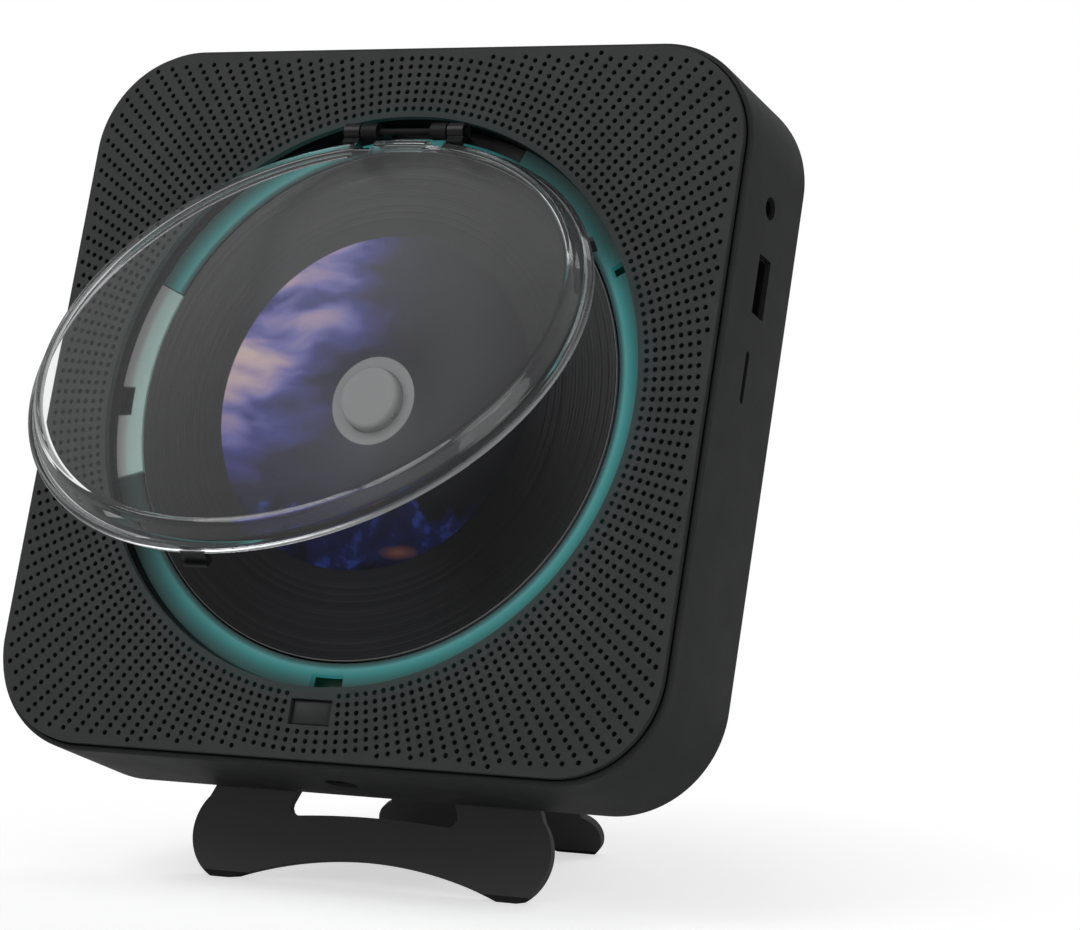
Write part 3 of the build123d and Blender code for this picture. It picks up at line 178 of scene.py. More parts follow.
def mottled(put, place, size, low, high):
    """A slow colour or roughness change between two values, its size in millimetres."""
    noise = put("ShaderNodeTexNoise", place, None, 1.0 / size, 3.0)
    return put("ShaderNodeMapRange", noise, 0.3, 0.7, low, high)


def round_axis(put, place):
    """Where a point lies about the disc's axis: its radius, x and y."""
    x, y = put("ShaderNodeSeparateXYZ", place, out=None).outputs[:2]
    flat = put("ShaderNodeCombineXYZ", x, y, 0.0)
    return put("ShaderNodeVectorMath", flat, operation="LENGTH", out=1), x, y


def turn_of(put, x, y):
    """The angle round the ring as 0 to 1, from x towards y."""
    return put("FRACT", put("MULTIPLY", put("ARCTAN2", y, x), 1 / (2 * math.pi)))


def round_grain(put, x, y):
    """The direction round the disc at each point, for sheen that fans out from the middle."""
    turned = put("ShaderNodeCombineXYZ", put("MULTIPLY", y, -1.0), x, 0.0)
    tilted = put("ShaderNodeVectorRotate", turned, Angle=UPRIGHT, rotation_type="X_AXIS")
    world = put(
        "ShaderNodeVectorTransform", tilted, vector_type="VECTOR", convert_from="OBJECT", convert_to="WORLD",
    )
    return put("ShaderNodeVectorMath", world, operation="NORMALIZE")


# ------------------------------------------------------------------ materials
# How bright the lamps show round the ring, by the share of a turn from x towards y.
LAMP_STOPS = (
    (0.0, "ffffff"), (0.07, "ececec"), (0.1, "9c9c9c"), (0.18, "989898"), (0.2, "c0c0c0"), (0.31, "ffffff"),
    (0.43, "e8e8e8"), (0.54, "8c8c8c"), (0.55, "545454"), (0.58, "5a5a5a"), (0.605, "a8a8a8"), (0.64, "d8d8d8"),
    (0.7, "f4f4f4"), (1.0, "ffffff"),
)
# Painted sheen on the disc: how much lighter or darker its print is drawn, by the same share of a turn.
PAINTED_SHEEN_WEDGES = (
    (0.0, "b0b0b0"), (0.1, "8c8c8c"), (0.3, "c8c8c8"), (0.5, "ffffff"), (0.6, "909090"), (0.68, "c8c8c8"),
    (0.75, "ffffff"), (0.81, "d8d8d8"), (0.87, "303030"), (0.92, "606060"), (1.0, "b0b0b0"),
)
# The ring's light from its inner edge to its outer one.
GLOW_STOPS = (
    (0.0, "061011"), (0.13, "265454"), (0.23, "418282"), (0.38, "2a7675"), (0.52, "236564"), (0.66, "225554"),
    (0.82, "204442"), (1.0, "1a3231"),
)
# The window's colour from its inner edge out: painted teal light from the lamps, then its own grey.
WINDOW_STOPS = ((0.0, "93ada8"), (0.5, "8fa8a3"), (0.66, "939494"), (1.0, "969797"))
PRINT_STOPS = ((0.0, "131316"), (0.5, "18181b"), (1.0, "212125"))
SKY_STOPS = (
    (0.0, "0a0a12"), (0.2, "1b1a3a"), (0.38, "393b80"), (0.52, "6e6aa8"), (0.68, "a590ac"), (0.85, "ccb2b0"),
)
GROUND_STOPS = ((0.3, "04040a"), (0.55, "0b1238"), (0.72, "1f3a86"))


def plastic(name, colour, roughness, grain_size=0.35, grain_depth=0.012, shine=0.5):
    """Moulded plastic: a spark-eroded grain breaks up its sheen, and its polish is a little uneven."""
    mat, put = material(name)
    place = case_mm(put)
    return coated(
        mat, put, Base_Color=rgba(colour), Roughness=mottled(put, place, 9.0, roughness - 0.04, roughness + 0.04),
        Normal=grain(put, place, grain_size, 0.6, grain_depth), Specular_IOR_Level=shine,
    )


def metal(name, colour, roughness):
    """Bare or plated metal: sharp reflections in its own colour, a little uneven from handling."""
    mat, put = material(name)
    place = case_mm(put)
    return coated(
        mat, put, Base_Color=linear(colour), Metallic=1.0,
        Roughness=mottled(put, place, 2.0, roughness * 0.8, roughness * 1.2),
        Normal=grain(put, place, 0.2, 0.25, 0.006),
    )


def lit_ring(ring):
    """Translucent polycarbonate over lamps: teal at the inner edge, dying away to bare dark plastic."""
    mat, put = material("Lit translucent polycarbonate")
    place = case_mm(put)
    radius, x, y = round_axis(put, place)
    span = put("ShaderNodeMapRange", radius, RING_IN_R, OPENING_R, 0.0, 1.0)
    glow = put("ShaderNodeValToRGB", span, stops=GLOW_STOPS)
    lamps = put("ShaderNodeValToRGB", turn_of(put, x, y), stops=LAMP_STOPS)
    light = put("ShaderNodeMix", lamps, *TO_COLOURS, BLACK, glow, out=2, data_type="RGBA")
    return coated(
        mat, put, Base_Color=linear("232525"), Roughness=mottled(put, place, 7.0, 0.48, 0.56),
        Specular_IOR_Level=0.15, Emission_Color=light, Emission_Strength=ring.glow,
        Normal=grain(put, place, 0.4, 0.3, 0.01),
    )


def sprayed_grille(case):
    """Sprayed sheet with a fine stipple: painted shade darkens it near the ring's edge, then a painted glow of the
    ring's light spills over it.
    """
    mat, put = material("Sprayed grille panel")
    place = case_mm(put)
    radius, x, y = round_axis(put, place)
    near = put("ShaderNodeMapRange", radius, OPENING_R, 72.5, 1.0, 0.0)
    # Painted glow: the lamps' teal light is added as emission on the panel near the ring's edge.
    lamps = put("ShaderNodeValToRGB", turn_of(put, x, y), stops=LAMP_STOPS)
    painted_spill_glow = put("ShaderNodeMix", lamps, *TO_COLOURS, BLACK, linear("3a8a82"), out=2, data_type="RGBA")
    # Painted shade: the paint is darkened towards the ring's edge, times a slow random mottle.
    painted_shade = put("ShaderNodeMapRange", radius, 66.8, 69.8, 0.72, 1.0)
    tone = put("MULTIPLY", painted_shade, mottled(put, place, 16.0, 0.93, 1.0))
    paint_and_painted_shade = put(
        "ShaderNodeMix", tone, *TO_COLOURS, linear("0c0e0e"), rgba(case.panel_colour), out=2, data_type="RGBA",
    )
    return coated(
        mat, put, Base_Color=paint_and_painted_shade, Roughness=mottled(put, place, 9.0, 0.55, 0.63), Specular_IOR_Level=0.25,
        Normal=grain(put, place, 0.3, 0.6, 0.01), Emission_Color=painted_spill_glow,
        Emission_Strength=put("MULTIPLY", put("POWER", near, 2.0), 0.05),
    )


def window_plastic():
    """Pale diffusing plastic: the lamps' teal light is painted into the colour of its inner two thirds, the outer
    third stays grey, and the whole window glows faintly in its colour.
    """
    mat, put = material("Pale diffusing polycarbonate")
    place = case_mm(put)
    radius = round_axis(put, place)[0]
    span = put("ShaderNodeMapRange", radius, 61.0, RING_OUT_R, 0.0, 1.0)
    colour = put("ShaderNodeValToRGB", span, stops=WINDOW_STOPS)
    return coated(
        mat, put, Base_Color=colour, Roughness=mottled(put, place, 5.0, 0.32, 0.42), Emission_Color=colour,
        Emission_Strength=0.17, Normal=grain(put, place, 0.5, 0.2, 0.004),
    )


def clear_acrylic(name, colour, rough, clear):
    """Moulded acrylic: bright edge lines, a slight smoky tint, faint wipe marks; light passes to what it covers."""
    mat, put = material(name)
    place = case_mm(put)
    shader = put(
        "ShaderNodeBsdfPrincipled", Base_Color=colour, Roughness=mottled(put, place, 14.0, *rough), IOR=1.49,
        Transmission_Weight=clear, Normal=grain(put, place, 6.0, 0.05, 0.01),
    )
    through = put("ShaderNodeBsdfTransparent", linear("d8dadc"))
    shadow = put("ShaderNodeLightPath", out=1)
    put("ShaderNodeOutputMaterial", put("ShaderNodeMixShader", shadow, shader, through))
    return mat


def groove_print(disc):
    """Black screen print over fine grooves, in bands of uneven width: a soft sheen that fans out from the middle,
    partly from the grooves' anisotropic highlight and partly painted into the print in wedges.
    """
    mat, put = material("Grooved black screen print")
    radius, x, y = round_axis(put, case_mm(put))
    # The real grooves are far too fine to show, so they are drawn as coarse as they need to be.
    fine = put("SINE", put("MULTIPLY", radius, 2 * math.pi / (disc.groove_pitch * 1000)))
    bands = put("ShaderNodeTexNoise", put("ShaderNodeCombineXYZ", radius, 0.0, 0.0), None, 0.62, 5.0)
    height = put("ADD", put("MULTIPLY", fine, 0.2), put("MULTIPLY", bands, 2.6))
    tone = put("ShaderNodeMapRange", bands, 0.38, 0.62, 0.0, 1.0)
    ink = put("ShaderNodeValToRGB", tone, stops=PRINT_STOPS)
    # Painted sheen: the print is drawn lighter and darker in soft wedges, where a pressed record shines.
    painted_sheen_wedges = put("ShaderNodeValToRGB", turn_of(put, x, y), stops=PAINTED_SHEEN_WEDGES)
    colour = put("ShaderNodeMix", painted_sheen_wedges, *TO_COLOURS, linear("040405"), ink, out=2, data_type="RGBA")
    return coated(
        mat, put, Base_Color=colour, Roughness=put("ShaderNodeMapRange", bands, 0.38, 0.62, 0.3, 0.44),
        Normal=put("ShaderNodeBump", Strength=0.6, Distance=0.00005, Height=height), Anisotropic=0.8,
        Tangent=round_grain(put, x, y), Specular_IOR_Level=0.3,
    )


def label_print():
    """Glossy printed label: an aurora over dark hills with a low warm glow."""
    mat, put = material("Glossy label print")
    place = case_mm(put)
    x, y = put("ShaderNodeSeparateXYZ", place, out=None).outputs[:2]
    # Slanted curtains of light, bent by a slow swirl, brightest to the left and high up.
    warp = put("ShaderNodeTexNoise", place, None, 0.045, 2.0, out=1)
    swirl = put("ShaderNodeVectorMath", warp, (14.0, 14.0, 0.0), operation="MULTIPLY")
    moved = put("ShaderNodeVectorMath", place, swirl, operation="ADD")
    slanted = put("ShaderNodeMapping", moved, None, (0, 0, math.radians(28)), (0.035, 0.11, 1.0))
    curtain = put("ShaderNodeTexNoise", slanted, None, 1.0, 3.0)
    curtain = put("ShaderNodeMapRange", curtain, 0.32, 0.66, 0.35, 1.15)
    side = put("ShaderNodeMapRange", x, 12.0, -34.0, 0.0, 1.0)
    high = put("ShaderNodeMapRange", y, -22.0, 20.0, 0.25, 1.0)
    light = put("MULTIPLY", put("MULTIPLY", side, high), curtain)
    sky = put("ShaderNodeValToRGB", light, stops=SKY_STOPS)
    # Hills along the bottom with wisps of blue on them.
    ridge = put("ShaderNodeTexNoise", put("ShaderNodeCombineXYZ", x, 0.0, 0.0), None, 0.12, 4.0)
    level = put("ADD", put("MULTIPLY", ridge, 26.0), -38.0)
    hill = put("ShaderNodeMapRange", put("SUBTRACT", level, y), -0.4, 0.4, 0.0, 1.0)
    wisps = put("ShaderNodeTexNoise", moved, None, 0.16, 5.0)
    ground = put("ShaderNodeValToRGB", wisps, stops=GROUND_STOPS)
    scenery = put("ShaderNodeMix", hill, *TO_COLOURS, sky, ground, out=2, data_type="RGBA")
    # The warm patch, wide and low, on the skyline.
    dx = put("MULTIPLY", put("SUBTRACT", x, 12.5), 0.16)
    dy = put("MULTIPLY", put("ADD", y, 34.5), 0.5)
    far = put("SQRT", put("ADD", put("MULTIPLY", dx, dx), put("MULTIPLY", dy, dy)))
    ragged = put("ADD", far, put("MULTIPLY", wisps, 0.9))
    warm = put("ShaderNodeMapRange", ragged, 0.45, 1.35, 1.0, 0.0)
    scenery = put("ShaderNodeMix", warm, *TO_COLOURS, scenery, linear("5c3830"), out=2, data_type="RGBA")
    return coated(
        mat, put, Base_Color=scenery, Roughness=0.35, Normal=grain(put, place, 0.25, 0.15, 0.002),
        Specular_IOR_Level=0.22,
    )


def make_materials(scene):
    """Every finish of the player, by the record's material slot, and a few more for printed parts."""
    case, disc, cover = scene.player_case, scene.player_disc, scene.player_cover
    return {
        # Charcoal mouldings: an even, matt grain that holds only a broad soft highlight.
        "case_plastic": plastic("Charcoal ABS, spark-eroded grain", case.colour, 0.56, 0.3, 0.008, 0.25),
        "key_plastic": plastic("Satin charcoal ABS keys", case.key_colour, 0.5, 0.3, 0.008, 0.3),
        "inner_plastic": plastic("Black ABS, moulded", "0c0c0d", 0.5, shine=0.25),
        "grille_metal": sprayed_grille(case),
        "ring_plastic": lit_ring(scene.player_ring),
        "window_plastic": window_plastic(),
        # Filter plastic looks black and polished, since it passes only infrared.
        "ir_plastic": plastic("Infrared filter polycarbonate", "0a080a", 0.2, 0.5, 0.002),
        # The cover: clear and sharp, dull white where its lip is frosted, and drawn dark at its knuckles, latch tongue
        # and prong, as painted shade.
        "clear_plastic": clear_acrylic("Clear smoky acrylic", rgba(cover.tint), (0.015, 0.04), 1.0),
        "clear_edge": clear_acrylic("Frosted acrylic edge", rgba(cover.edge_colour), (0.2, 0.3), 0.95),
        # Painted shade: the cover's knuckles, latch tongue and prong are drawn in this dark plastic.
        "shade_dark_fitting": plastic("Dark acrylic fitting, painted shade", "151616", 0.35, 0.5, 0.002, 0.3),
        # The disc: its edge nearly black, its print as said above, its bare middle a flat grey like the hub.
        "disc_plastic": plastic("Polycarbonate disc edge", "0c0c0e", 0.5, shine=0.15),
        "groove_print": groove_print(disc),
        "label_print": label_print(),
        "disc_bare": plastic("Mirror-backed polycarbonate", disc.centre_colour, 0.6, 0.5, 0.002, 0.15),
        "hub_grey": plastic("Grey acetal, turned", disc.centre_colour, 0.6, 0.4, 0.004, 0.15),
        # Plated metals shine in their own colour; oxide and powder coat hide the metal under a matt black skin.
        "steel": metal("Zinc-plated steel", "b8babd", 0.32),
        "chrome": metal("Polished steel", "d0d0d2", 0.12),
        "gold": metal("Gold-plated contacts", "d8a84c", 0.2),
        "dark_steel": plastic("Steel, black oxide", "0e0e0e", 0.6, 0.2, 0.004, 0.2),
        "sheet_steel": plastic("Sheet steel, black powder coat", scene.player_stand.colour, 0.6, 0.45, 0.02, 0.25),
        # Electronics: glossy lacquer on the boards, dull epoxy on the parts, milky epoxy on the lamps.
        "circuit_board": plastic("Green lacquered glass-fibre board", "16442a", 0.35),
        "component_plastic": plastic("Black epoxy component", "1a1a1b", 0.45),
        "led_plastic": plastic("Diffusing lamp epoxy", "e6f5f2", 0.3),
        # Rubber and paper have almost no highlight; the coated lens has a sharp one.
        "rubber": plastic("Black rubber, moulded", "262626", 0.75, shine=0.25),
        "paper_cone": plastic("Pressed black paper", "181818", 0.85, shine=0.3),
        "magnet": plastic("Dark plated steel cup", "4a4b4e", 0.4),
        "lens_glass": plastic("Coated glass lens", "5a6a90", 0.05),
    }


# ------------------------------------------------------------------ shapes
def round_off(points, radii, steps=5):
    """A polyline with its inner corners replaced by arc-like runs; radii are per corner, and 0 leaves one sharp."""
    out = []
    for i, (point, r) in enumerate(zip(points, radii)):
        if r <= 0 or i in (0, len(points) - 1):
            out.append(point)
            continue
        here = Vector(point)
        a = here + (Vector(points[i - 1]) - here).normalized() * r
        b = here + (Vector(points[i + 1]) - here).normalized() * r
        for k in range(steps + 1):
            t = k / steps
            out.append(tuple((1 - t) ** 2 * a + 2 * t * (1 - t) * here + t * t * b))
    return out


def lathe(profile, segments):
    """Vertices and faces of a (radius, z) profile turned about the case frame's z axis."""
    verts, rings = [], []
    for r, z in profile:
        if r < 1e-6:
            rings.append([len(verts)] * segments)
            verts.append((0, 0, z))
            continue
        rings.append(range(len(verts), len(verts) + segments))
        for k in range(segments):
            a = math.radians(360 * k / segments)
            verts.append((r * math.cos(a), r * math.sin(a), z))
    faces = []
    for low, high in zip(rings, rings[1:]):
        for k in range(segments):
            n = (k + 1) % segments
            face = [low[k], low[n], high[n], high[k]]
            face = [v for i, v in enumerate(face) if v not in face[:i]]
            if len(face) > 2:
                faces.append(face)
    return verts, faces


def loft(rings, looped=False):
    """Vertices and faces of closed outlines of equal length joined in order, with a cap at each end or in a loop."""
    n = len(rings[0])
    last = len(rings) - 1
    pairs = list(zip(range(last), range(1, last + 1)))
    if looped:
        pairs.append((last, 0))
    faces = [] if looped else [tuple(range(n))[::-1], tuple(range(last * n, (last + 1) * n))]
    faces += [(a * n + k, a * n + (k + 1) % n, b * n + (k + 1) % n, b * n + k) for a, b in pairs for k in range(n)]
    return [v for ring in rings for v in ring], faces


def rounded_square(half, radius, z, steps):
    """A ring of points round a square with round corners, counter-clockwise."""
    ring = []
    for corner, (sx, sy) in enumerate(((1, 1), (-1, 1), (-1, -1), (1, -1))):
        for k in range(steps + 1):
            a = math.radians(90 * corner + 90 * k / steps)
            ring.append((sx * (half - radius) + radius * math.cos(a), sy * (half - radius) + radius * math.sin(a), z))
    return ring


def prism(outline, z0, z1):
    """A straight-sided solid from a closed outline of (x, y)."""
    return loft([[(x, y, z) for x, y in outline] for z in (z0, z1)])


def bar(x, y, z):
    """Vertices and faces of a box between the low and high value of each case axis."""
    return prism([(x[0], y[0]), (x[1], y[0]), (x[1], y[1]), (x[0], y[1])], *z)


def arc_through(a, b, c, steps):
    """Points on the circle through three points, from the first to the last."""
    (ax, ay), (bx, by), (cx, cy) = a, b, c
    a2, b2, c2 = ax**2 + ay**2, bx**2 + by**2, cx**2 + cy**2
    d = 2 * (ax * (by - cy) + bx * (cy - ay) + cx * (ay - by))
    ux = (a2 * (by - cy) + b2 * (cy - ay) + c2 * (ay - by)) / d
    uy = (a2 * (cx - bx) + b2 * (ax - cx) + c2 * (bx - ax)) / d
    r = math.hypot(ax - ux, ay - uy)
    t0, t1, t2 = (math.atan2(y - uy, x - ux) for x, y in (a, b, c))
    turn = (t2 - t0) % (2 * math.pi)
    if (t1 - t0) % (2 * math.pi) > turn:
        turn -= 2 * math.pi
    angles = [t0 + turn * k / steps for k in range(steps + 1)]
    return [(ux + r * math.cos(t), uy + r * math.sin(t)) for t in angles]


def pill_outline(cx, cy, width, height, steps=12):
    """A slot-shaped outline, wider along its first axis."""
    r = height / 2
    pts = []
    for side in (1, -1):
        for k in range(steps + 1):
            a = math.radians(-90 + 180 * k / steps)
            pts.append((cx + side * (width / 2 - r + r * math.cos(a)), cy + side * r * math.sin(a)))
    return pts


def turned_pill(cx, cy, width, height):
    """A slot-shaped outline, longer along its second axis."""
    return [(cx + y, cy + x) for x, y in pill_outline(0, 0, height, width)][::-1]


# These turn a prism's outline from (x, y) to lie in the case's (y, z), its height along x, or in (x, z), its height
# running down y.
TO_SIDE = Matrix(((0, 0, 1, 0), (1, 0, 0, 0), (0, 1, 0, 0), (0, 0, 0, 1)))
TO_TOP = Matrix(((1, 0, 0, 0), (0, 0, -1, 0), (0, 1, 0, 0), (0, 0, 0, 1)))


def on_ring(radius, angle):
    """The place at a radius and angle round the disc, turned to face outward."""
    out = Vector((radius * math.cos(angle), radius * math.sin(angle), 0))
    return Matrix.Translation(out) @ Matrix.Rotation(angle, 4, "Z")


def link(name, mesh):
    obj = bpy.data.objects.new(name, mesh)
    bpy.context.scene.collection.objects.link(obj)
    return obj


def settle(name, mesh, smooth=30.0, place=None):
    """Puts a case-frame mesh in place, faces outward, smooth below an angle, and makes its object."""
    bm = bmesh.new()
    bm.from_mesh(mesh)
    bmesh.ops.remove_doubles(bm, verts=bm.verts, dist=1e-5)
    bmesh.ops.recalc_face_normals(bm, faces=bm.faces)
    bm.to_mesh(mesh)
    bm.free()
    if place is not None:
        mesh.transform(place)
    mesh.transform(TO_ROW_MM)
    mesh.shade_smooth()
    mesh.set_sharp_from_angle(angle=math.radians(smooth))
    return link(name, mesh)


def build(name, shape, mats, smooth=30.0, place=None):
    """A closed mesh object in the row frame from vertices and faces in case-frame millimetres."""
    verts, faces = shape
    mesh = bpy.data.meshes.new(name)
    mesh.from_pydata([tuple(v) for v in verts], [], [tuple(f) for f in faces])
    for mat in mats:
        mesh.materials.append(mat)
    return settle(name, mesh, smooth, place)


def tool(shape, place=None):
    """A closed shape to cut with or to join to another."""
    return build("tool", shape, [], place=place)


def rod(radius, start, end, segments=48):
    """A round tool between two points of the case frame."""
    a, b = Vector(start), Vector(end)
    length = (b - a).length
    turn = (b - a).to_track_quat("Z", "Y").to_matrix().to_4x4()
    return tool(lathe([(0, 0), (radius, 0), (radius, length), (0, length)], segments), Matrix.Translation(a) @ turn)


def rods(radius, places, z, segments=48):
    """Round tools along z between two depths, at (x, y) places."""
    return [rod(radius, (x, y, z[0]), (x, y, z[1]), segments) for x, y in places]


def discard(objects):
    """Removes objects and their meshes."""
    for obj in objects:
        mesh = obj.data
        bpy.data.objects.remove(obj)
        bpy.data.meshes.remove(mesh)


def baked(obj):
    """Applies an object's modifiers, leaving a plain mesh."""
    graph = bpy.context.evaluated_depsgraph_get()
    mesh = bpy.data.meshes.new_from_object(obj.evaluated_get(graph))
    obj.modifiers.clear()
    old = obj.data
    obj.data = mesh
    bpy.data.meshes.remove(old)
    return obj


def softened(obj, width, segments, angle):
    """Bevels the edges sharper than an angle, to a width in millimetres."""
    mod = obj.modifiers.new("edges", "BEVEL")
    mod.width = width / 1000
    mod.segments = segments
    mod.limit_method = "ANGLE"
    mod.angle_limit = math.radians(angle)
    mod.harden_normals = True
    return baked(obj)


def combined(obj, operation, parts, smooth=30.0):
    """Cuts closed parts out of an object or joins them to it, and removes them."""
    for part in parts:
        mod = obj.modifiers.new("combine", "BOOLEAN")
        mod.operation = operation
        mod.solver = "EXACT"
        mod.object = part
    baked(obj)
    obj.data.set_sharp_from_angle(angle=math.radians(smooth))
    discard(parts)
    return obj


def cut(obj, *tools):
    """Cuts closed tools out of an object."""
    return combined(obj, "DIFFERENCE", tools)


def united(obj, *parts, smooth=30.0):
    """Joins closed parts into an object."""
    return combined(obj, "UNION", parts, smooth)


def joined(obj, *parts):
    """Adds other meshes to an object's own as they are."""
    bm = bmesh.new()
    for part in (obj, *parts):
        bm.from_mesh(part.data)
    bm.to_mesh(obj.data)
    bm.free()
    discard(parts)
    return obj


def new_group(name, **inputs):
    """A geometry node group: its tree, the function that adds a node to it, and its inputs' sockets. An input is a
    number, its default, or else the kind of its socket."""
    tree = bpy.data.node_groups.new(name, "GeometryNodeTree")
    tree.interface.new_socket("Geometry", in_out="OUTPUT", socket_type="NodeSocketGeometry")
    for key, value in inputs.items():
        kind = value if isinstance(value, str) else {int: "Int", float: "Float"}[type(value)]
        socket = tree.interface.new_socket(
            key.replace("_", " ").capitalize(), in_out="INPUT", socket_type="NodeSocket" + kind,
        )
        if kind != value:
            socket.default_value = value
    put = functools.partial(add, tree)
    return tree, put, {socket.name: socket for socket in put("NodeGroupInput", out=None).outputs}


def from_nodes(name, tree, values, points=()):
    """Runs a geometry node group on loose points, or on nothing, and leaves its result as a plain object."""
    mesh = bpy.data.meshes.new(name)
    mesh.from_pydata(list(points), [], [])
    obj = link(name, mesh)
    mod = obj.modifiers.new("shape", "NODES")
    mod.node_group = tree
    for socket in tree.interface.items_tree:
        if socket.name in values:
            mod[socket.identifier] = values[socket.name]
    graph = bpy.context.evaluated_depsgraph_get()
    result = bpy.data.meshes.new_from_object(obj.evaluated_get(graph))
    discard([obj])
    return settle(name, result)


# ------------------------------------------------------------------ case
KEYS = ("power", "mode", "previous", "play", "next", "volume_down", "volume_up")
KEY_PITCH = 12.0
KEY_Z = -16.0
CASE_SCREWS = ((78.3, -10.0), (-78.3, -10.0), (56.0, 78.3), (-56.0, 78.3), (30.0, -78.3), (-30.0, -78.3))
STAND_SCREWS = ((-20.0, -64.0), (20.0, -64.0), (-20.0, -30.0), (20.0, -30.0))
BOARD_POSTS = ((-40.0, -66.0), (40.0, -66.0), (-40.0, -18.0), (40.0, -18.0))
KEYHOLES = ((-50.0, 48.0), (50.0, 48.0))

# Cuts through a side wall run from just inside it to just outside it.
THROUGH_WALL = (82, 86)
# Cuts through the back plate, from its outside to its inside.
THROUGH_PLATE = (-34.0, -30.0)


def key_x(index):
    return (index - (len(KEYS) - 1) / 2) * KEY_PITCH


def make_housing(mats):
    """The square shell with its soft edges and every opening in its walls."""
    corners = [
        (WALL, LEDGE_Z), (WALL, -PANEL_T), (LIP, -PANEL_T), (LIP, 0), (0, 0), (0, BACK_Z), (WALL, BACK_Z),
        (WALL, PLATE_FRONT_Z),
    ]
    profile = round_off(corners, (0, 0, 0, 0.25, 0.9, 1.6, 0, 0), 6)
    rings = [rounded_square(HALF - d, CORNER_R - d, z, 24) for d, z in profile]
    shell = build("housing_shell_detail", loft(rings, looped=True), [mats["case_plastic"]])
    inside, outside = THROUGH_WALL
    headphone = rod(2.6, (inside, 50.9, -14.8), (outside, 50.9, -14.8))
    usb = tool(bar(THROUGH_WALL, (26.0, 39.8), (-19.25, -12.85)))
    card = tool(prism(pill_outline(11.4, -14.15, 12.0, 1.8), *THROUGH_WALL), TO_SIDE)
    power = rod(3.8, (0, -inside, -17.5), (0, -outside, -17.5))
    openings = [pill_outline(key_x(index), KEY_Z, 8.4, 4.8) for index in range(len(KEYS))]
    keys = [tool(prism(outline, -outside, -inside), TO_TOP) for outline in openings]
    return softened(cut(shell, headphone, usb, card, power, *keys), 0.25, 2, 40)


def panel_tree(panel):
    """A node group that draws the perforated panel in millimetres: straight rays of holes crossed by round rows."""
    tree, put, get = new_group(
        "Perforated panel", hole_diameter=panel.hole_diameter * 1000, rays=panel.rays,
        first_row_radius=panel.first_row * 1000, row_pitch=panel.row_pitch * 1000, rows=panel.rows,
        half_width=HALF - LIP - PANEL_PLAY, corner_radius=CORNER_R - LIP - PANEL_PLAY, bare_edge=1.45,
        opening_radius=OPENING_R, thickness=PANEL_T, material="Material",
    )
    # A point for every hole, by ray and by row.
    dots = put("GeometryNodePoints", put("MULTIPLY", get["Rays"], get["Rows"]))
    index = put("GeometryNodeInputIndex")
    ray = put("MODULO", index, get["Rays"])
    row = put("FLOOR", put("DIVIDE", index, get["Rays"]))
    turn = put("MULTIPLY", put("DIVIDE", ray, get["Rays"]), 2 * math.pi)
    angle = put("ADD", turn, math.pi / 2)
    radius = put("ADD", put("MULTIPLY", row, get["Row pitch"]), get["First row radius"])
    x, y = put("MULTIPLY", radius, put("COSINE", angle)), put("MULTIPLY", radius, put("SINE", angle))
    # Left out: what falls past the round-cornered margin, and what the latch button would cut.
    limit = put("SUBTRACT", get["Half width"], get["Bare edge"])
    corner = put("SUBTRACT", get["Corner radius"], get["Bare edge"])
    straight = put("SUBTRACT", limit, corner)
    over = [put("MAXIMUM", put("SUBTRACT", put("ABSOLUTE", v), straight), 0.0) for v in (x, y)]
    reach = put("SQRT", put("ADD", *[put("MULTIPLY", v, v) for v in over]))
    past = put("GREATER_THAN", reach, corner)
    beside = put("LESS_THAN", put("ABSOLUTE", x), 6.2)
    level = put("LESS_THAN", put("ABSOLUTE", put("SUBTRACT", y, LATCH_Y)), 3.85)
    drop = put("MAXIMUM", past, put("MULTIPLY", beside, level))
    dots = put("GeometryNodeSetPosition", dots, None, put("ShaderNodeCombineXYZ", x, y, 0.0))
    dots = put("GeometryNodeDeleteGeometry", dots, drop, domain="POINT")
    hole_radius = put("MULTIPLY", get["Hole diameter"], 0.5)
    hole = put("GeometryNodeCurvePrimitiveCircle", 12, Radius=hole_radius, mode="RADIUS")
    dots = put("GeometryNodeInstanceOnPoints", dots, None, hole)
    dots = put("GeometryNodeRealizeInstances", dots)
    # The panel's outline, its round mouth and the opening for the latch button.
    side = put("MULTIPLY", get["Half width"], 2.0)
    edge = put("GeometryNodeCurvePrimitiveQuadrilateral", side, side)
    edge = put(
        "GeometryNodeFilletCurve", edge, Radius=get["Corner radius"], Count=24, Limit_Radius=False, mode="POLY",
    )
    mouth = put("GeometryNodeCurvePrimitiveCircle", 192, Radius=get["Opening radius"], mode="RADIUS")
    tile = put("GeometryNodeCurvePrimitiveQuadrilateral", 10.45, 5.95)
    tile = put("GeometryNodeTransform", tile, Translation=(0, LATCH_Y, 0))
    flat = put("GeometryNodeFillCurve", put("GeometryNodeJoinGeometry", [edge, mouth, tile, dots]))
    pushed = put(
        "GeometryNodeExtrudeMesh", flat, Individual=False, Offset=(0, 0, -1), Offset_Scale=get["Thickness"],
        mode="FACES",
    )
    both = put("GeometryNodeJoinGeometry", [flat, pushed])
    whole = put("GeometryNodeMergeByDistance", both, Distance=0.002)
    put("NodeGroupOutput", put("GeometryNodeSetMaterial", whole, None, get["Material"]))
    return tree


def make_grille(mats, panel):
    """The perforated front panel, drawn by its node group."""
    return from_nodes("speaker_grille_detail", panel_tree(panel), {"Material": mats["grille_metal"]})


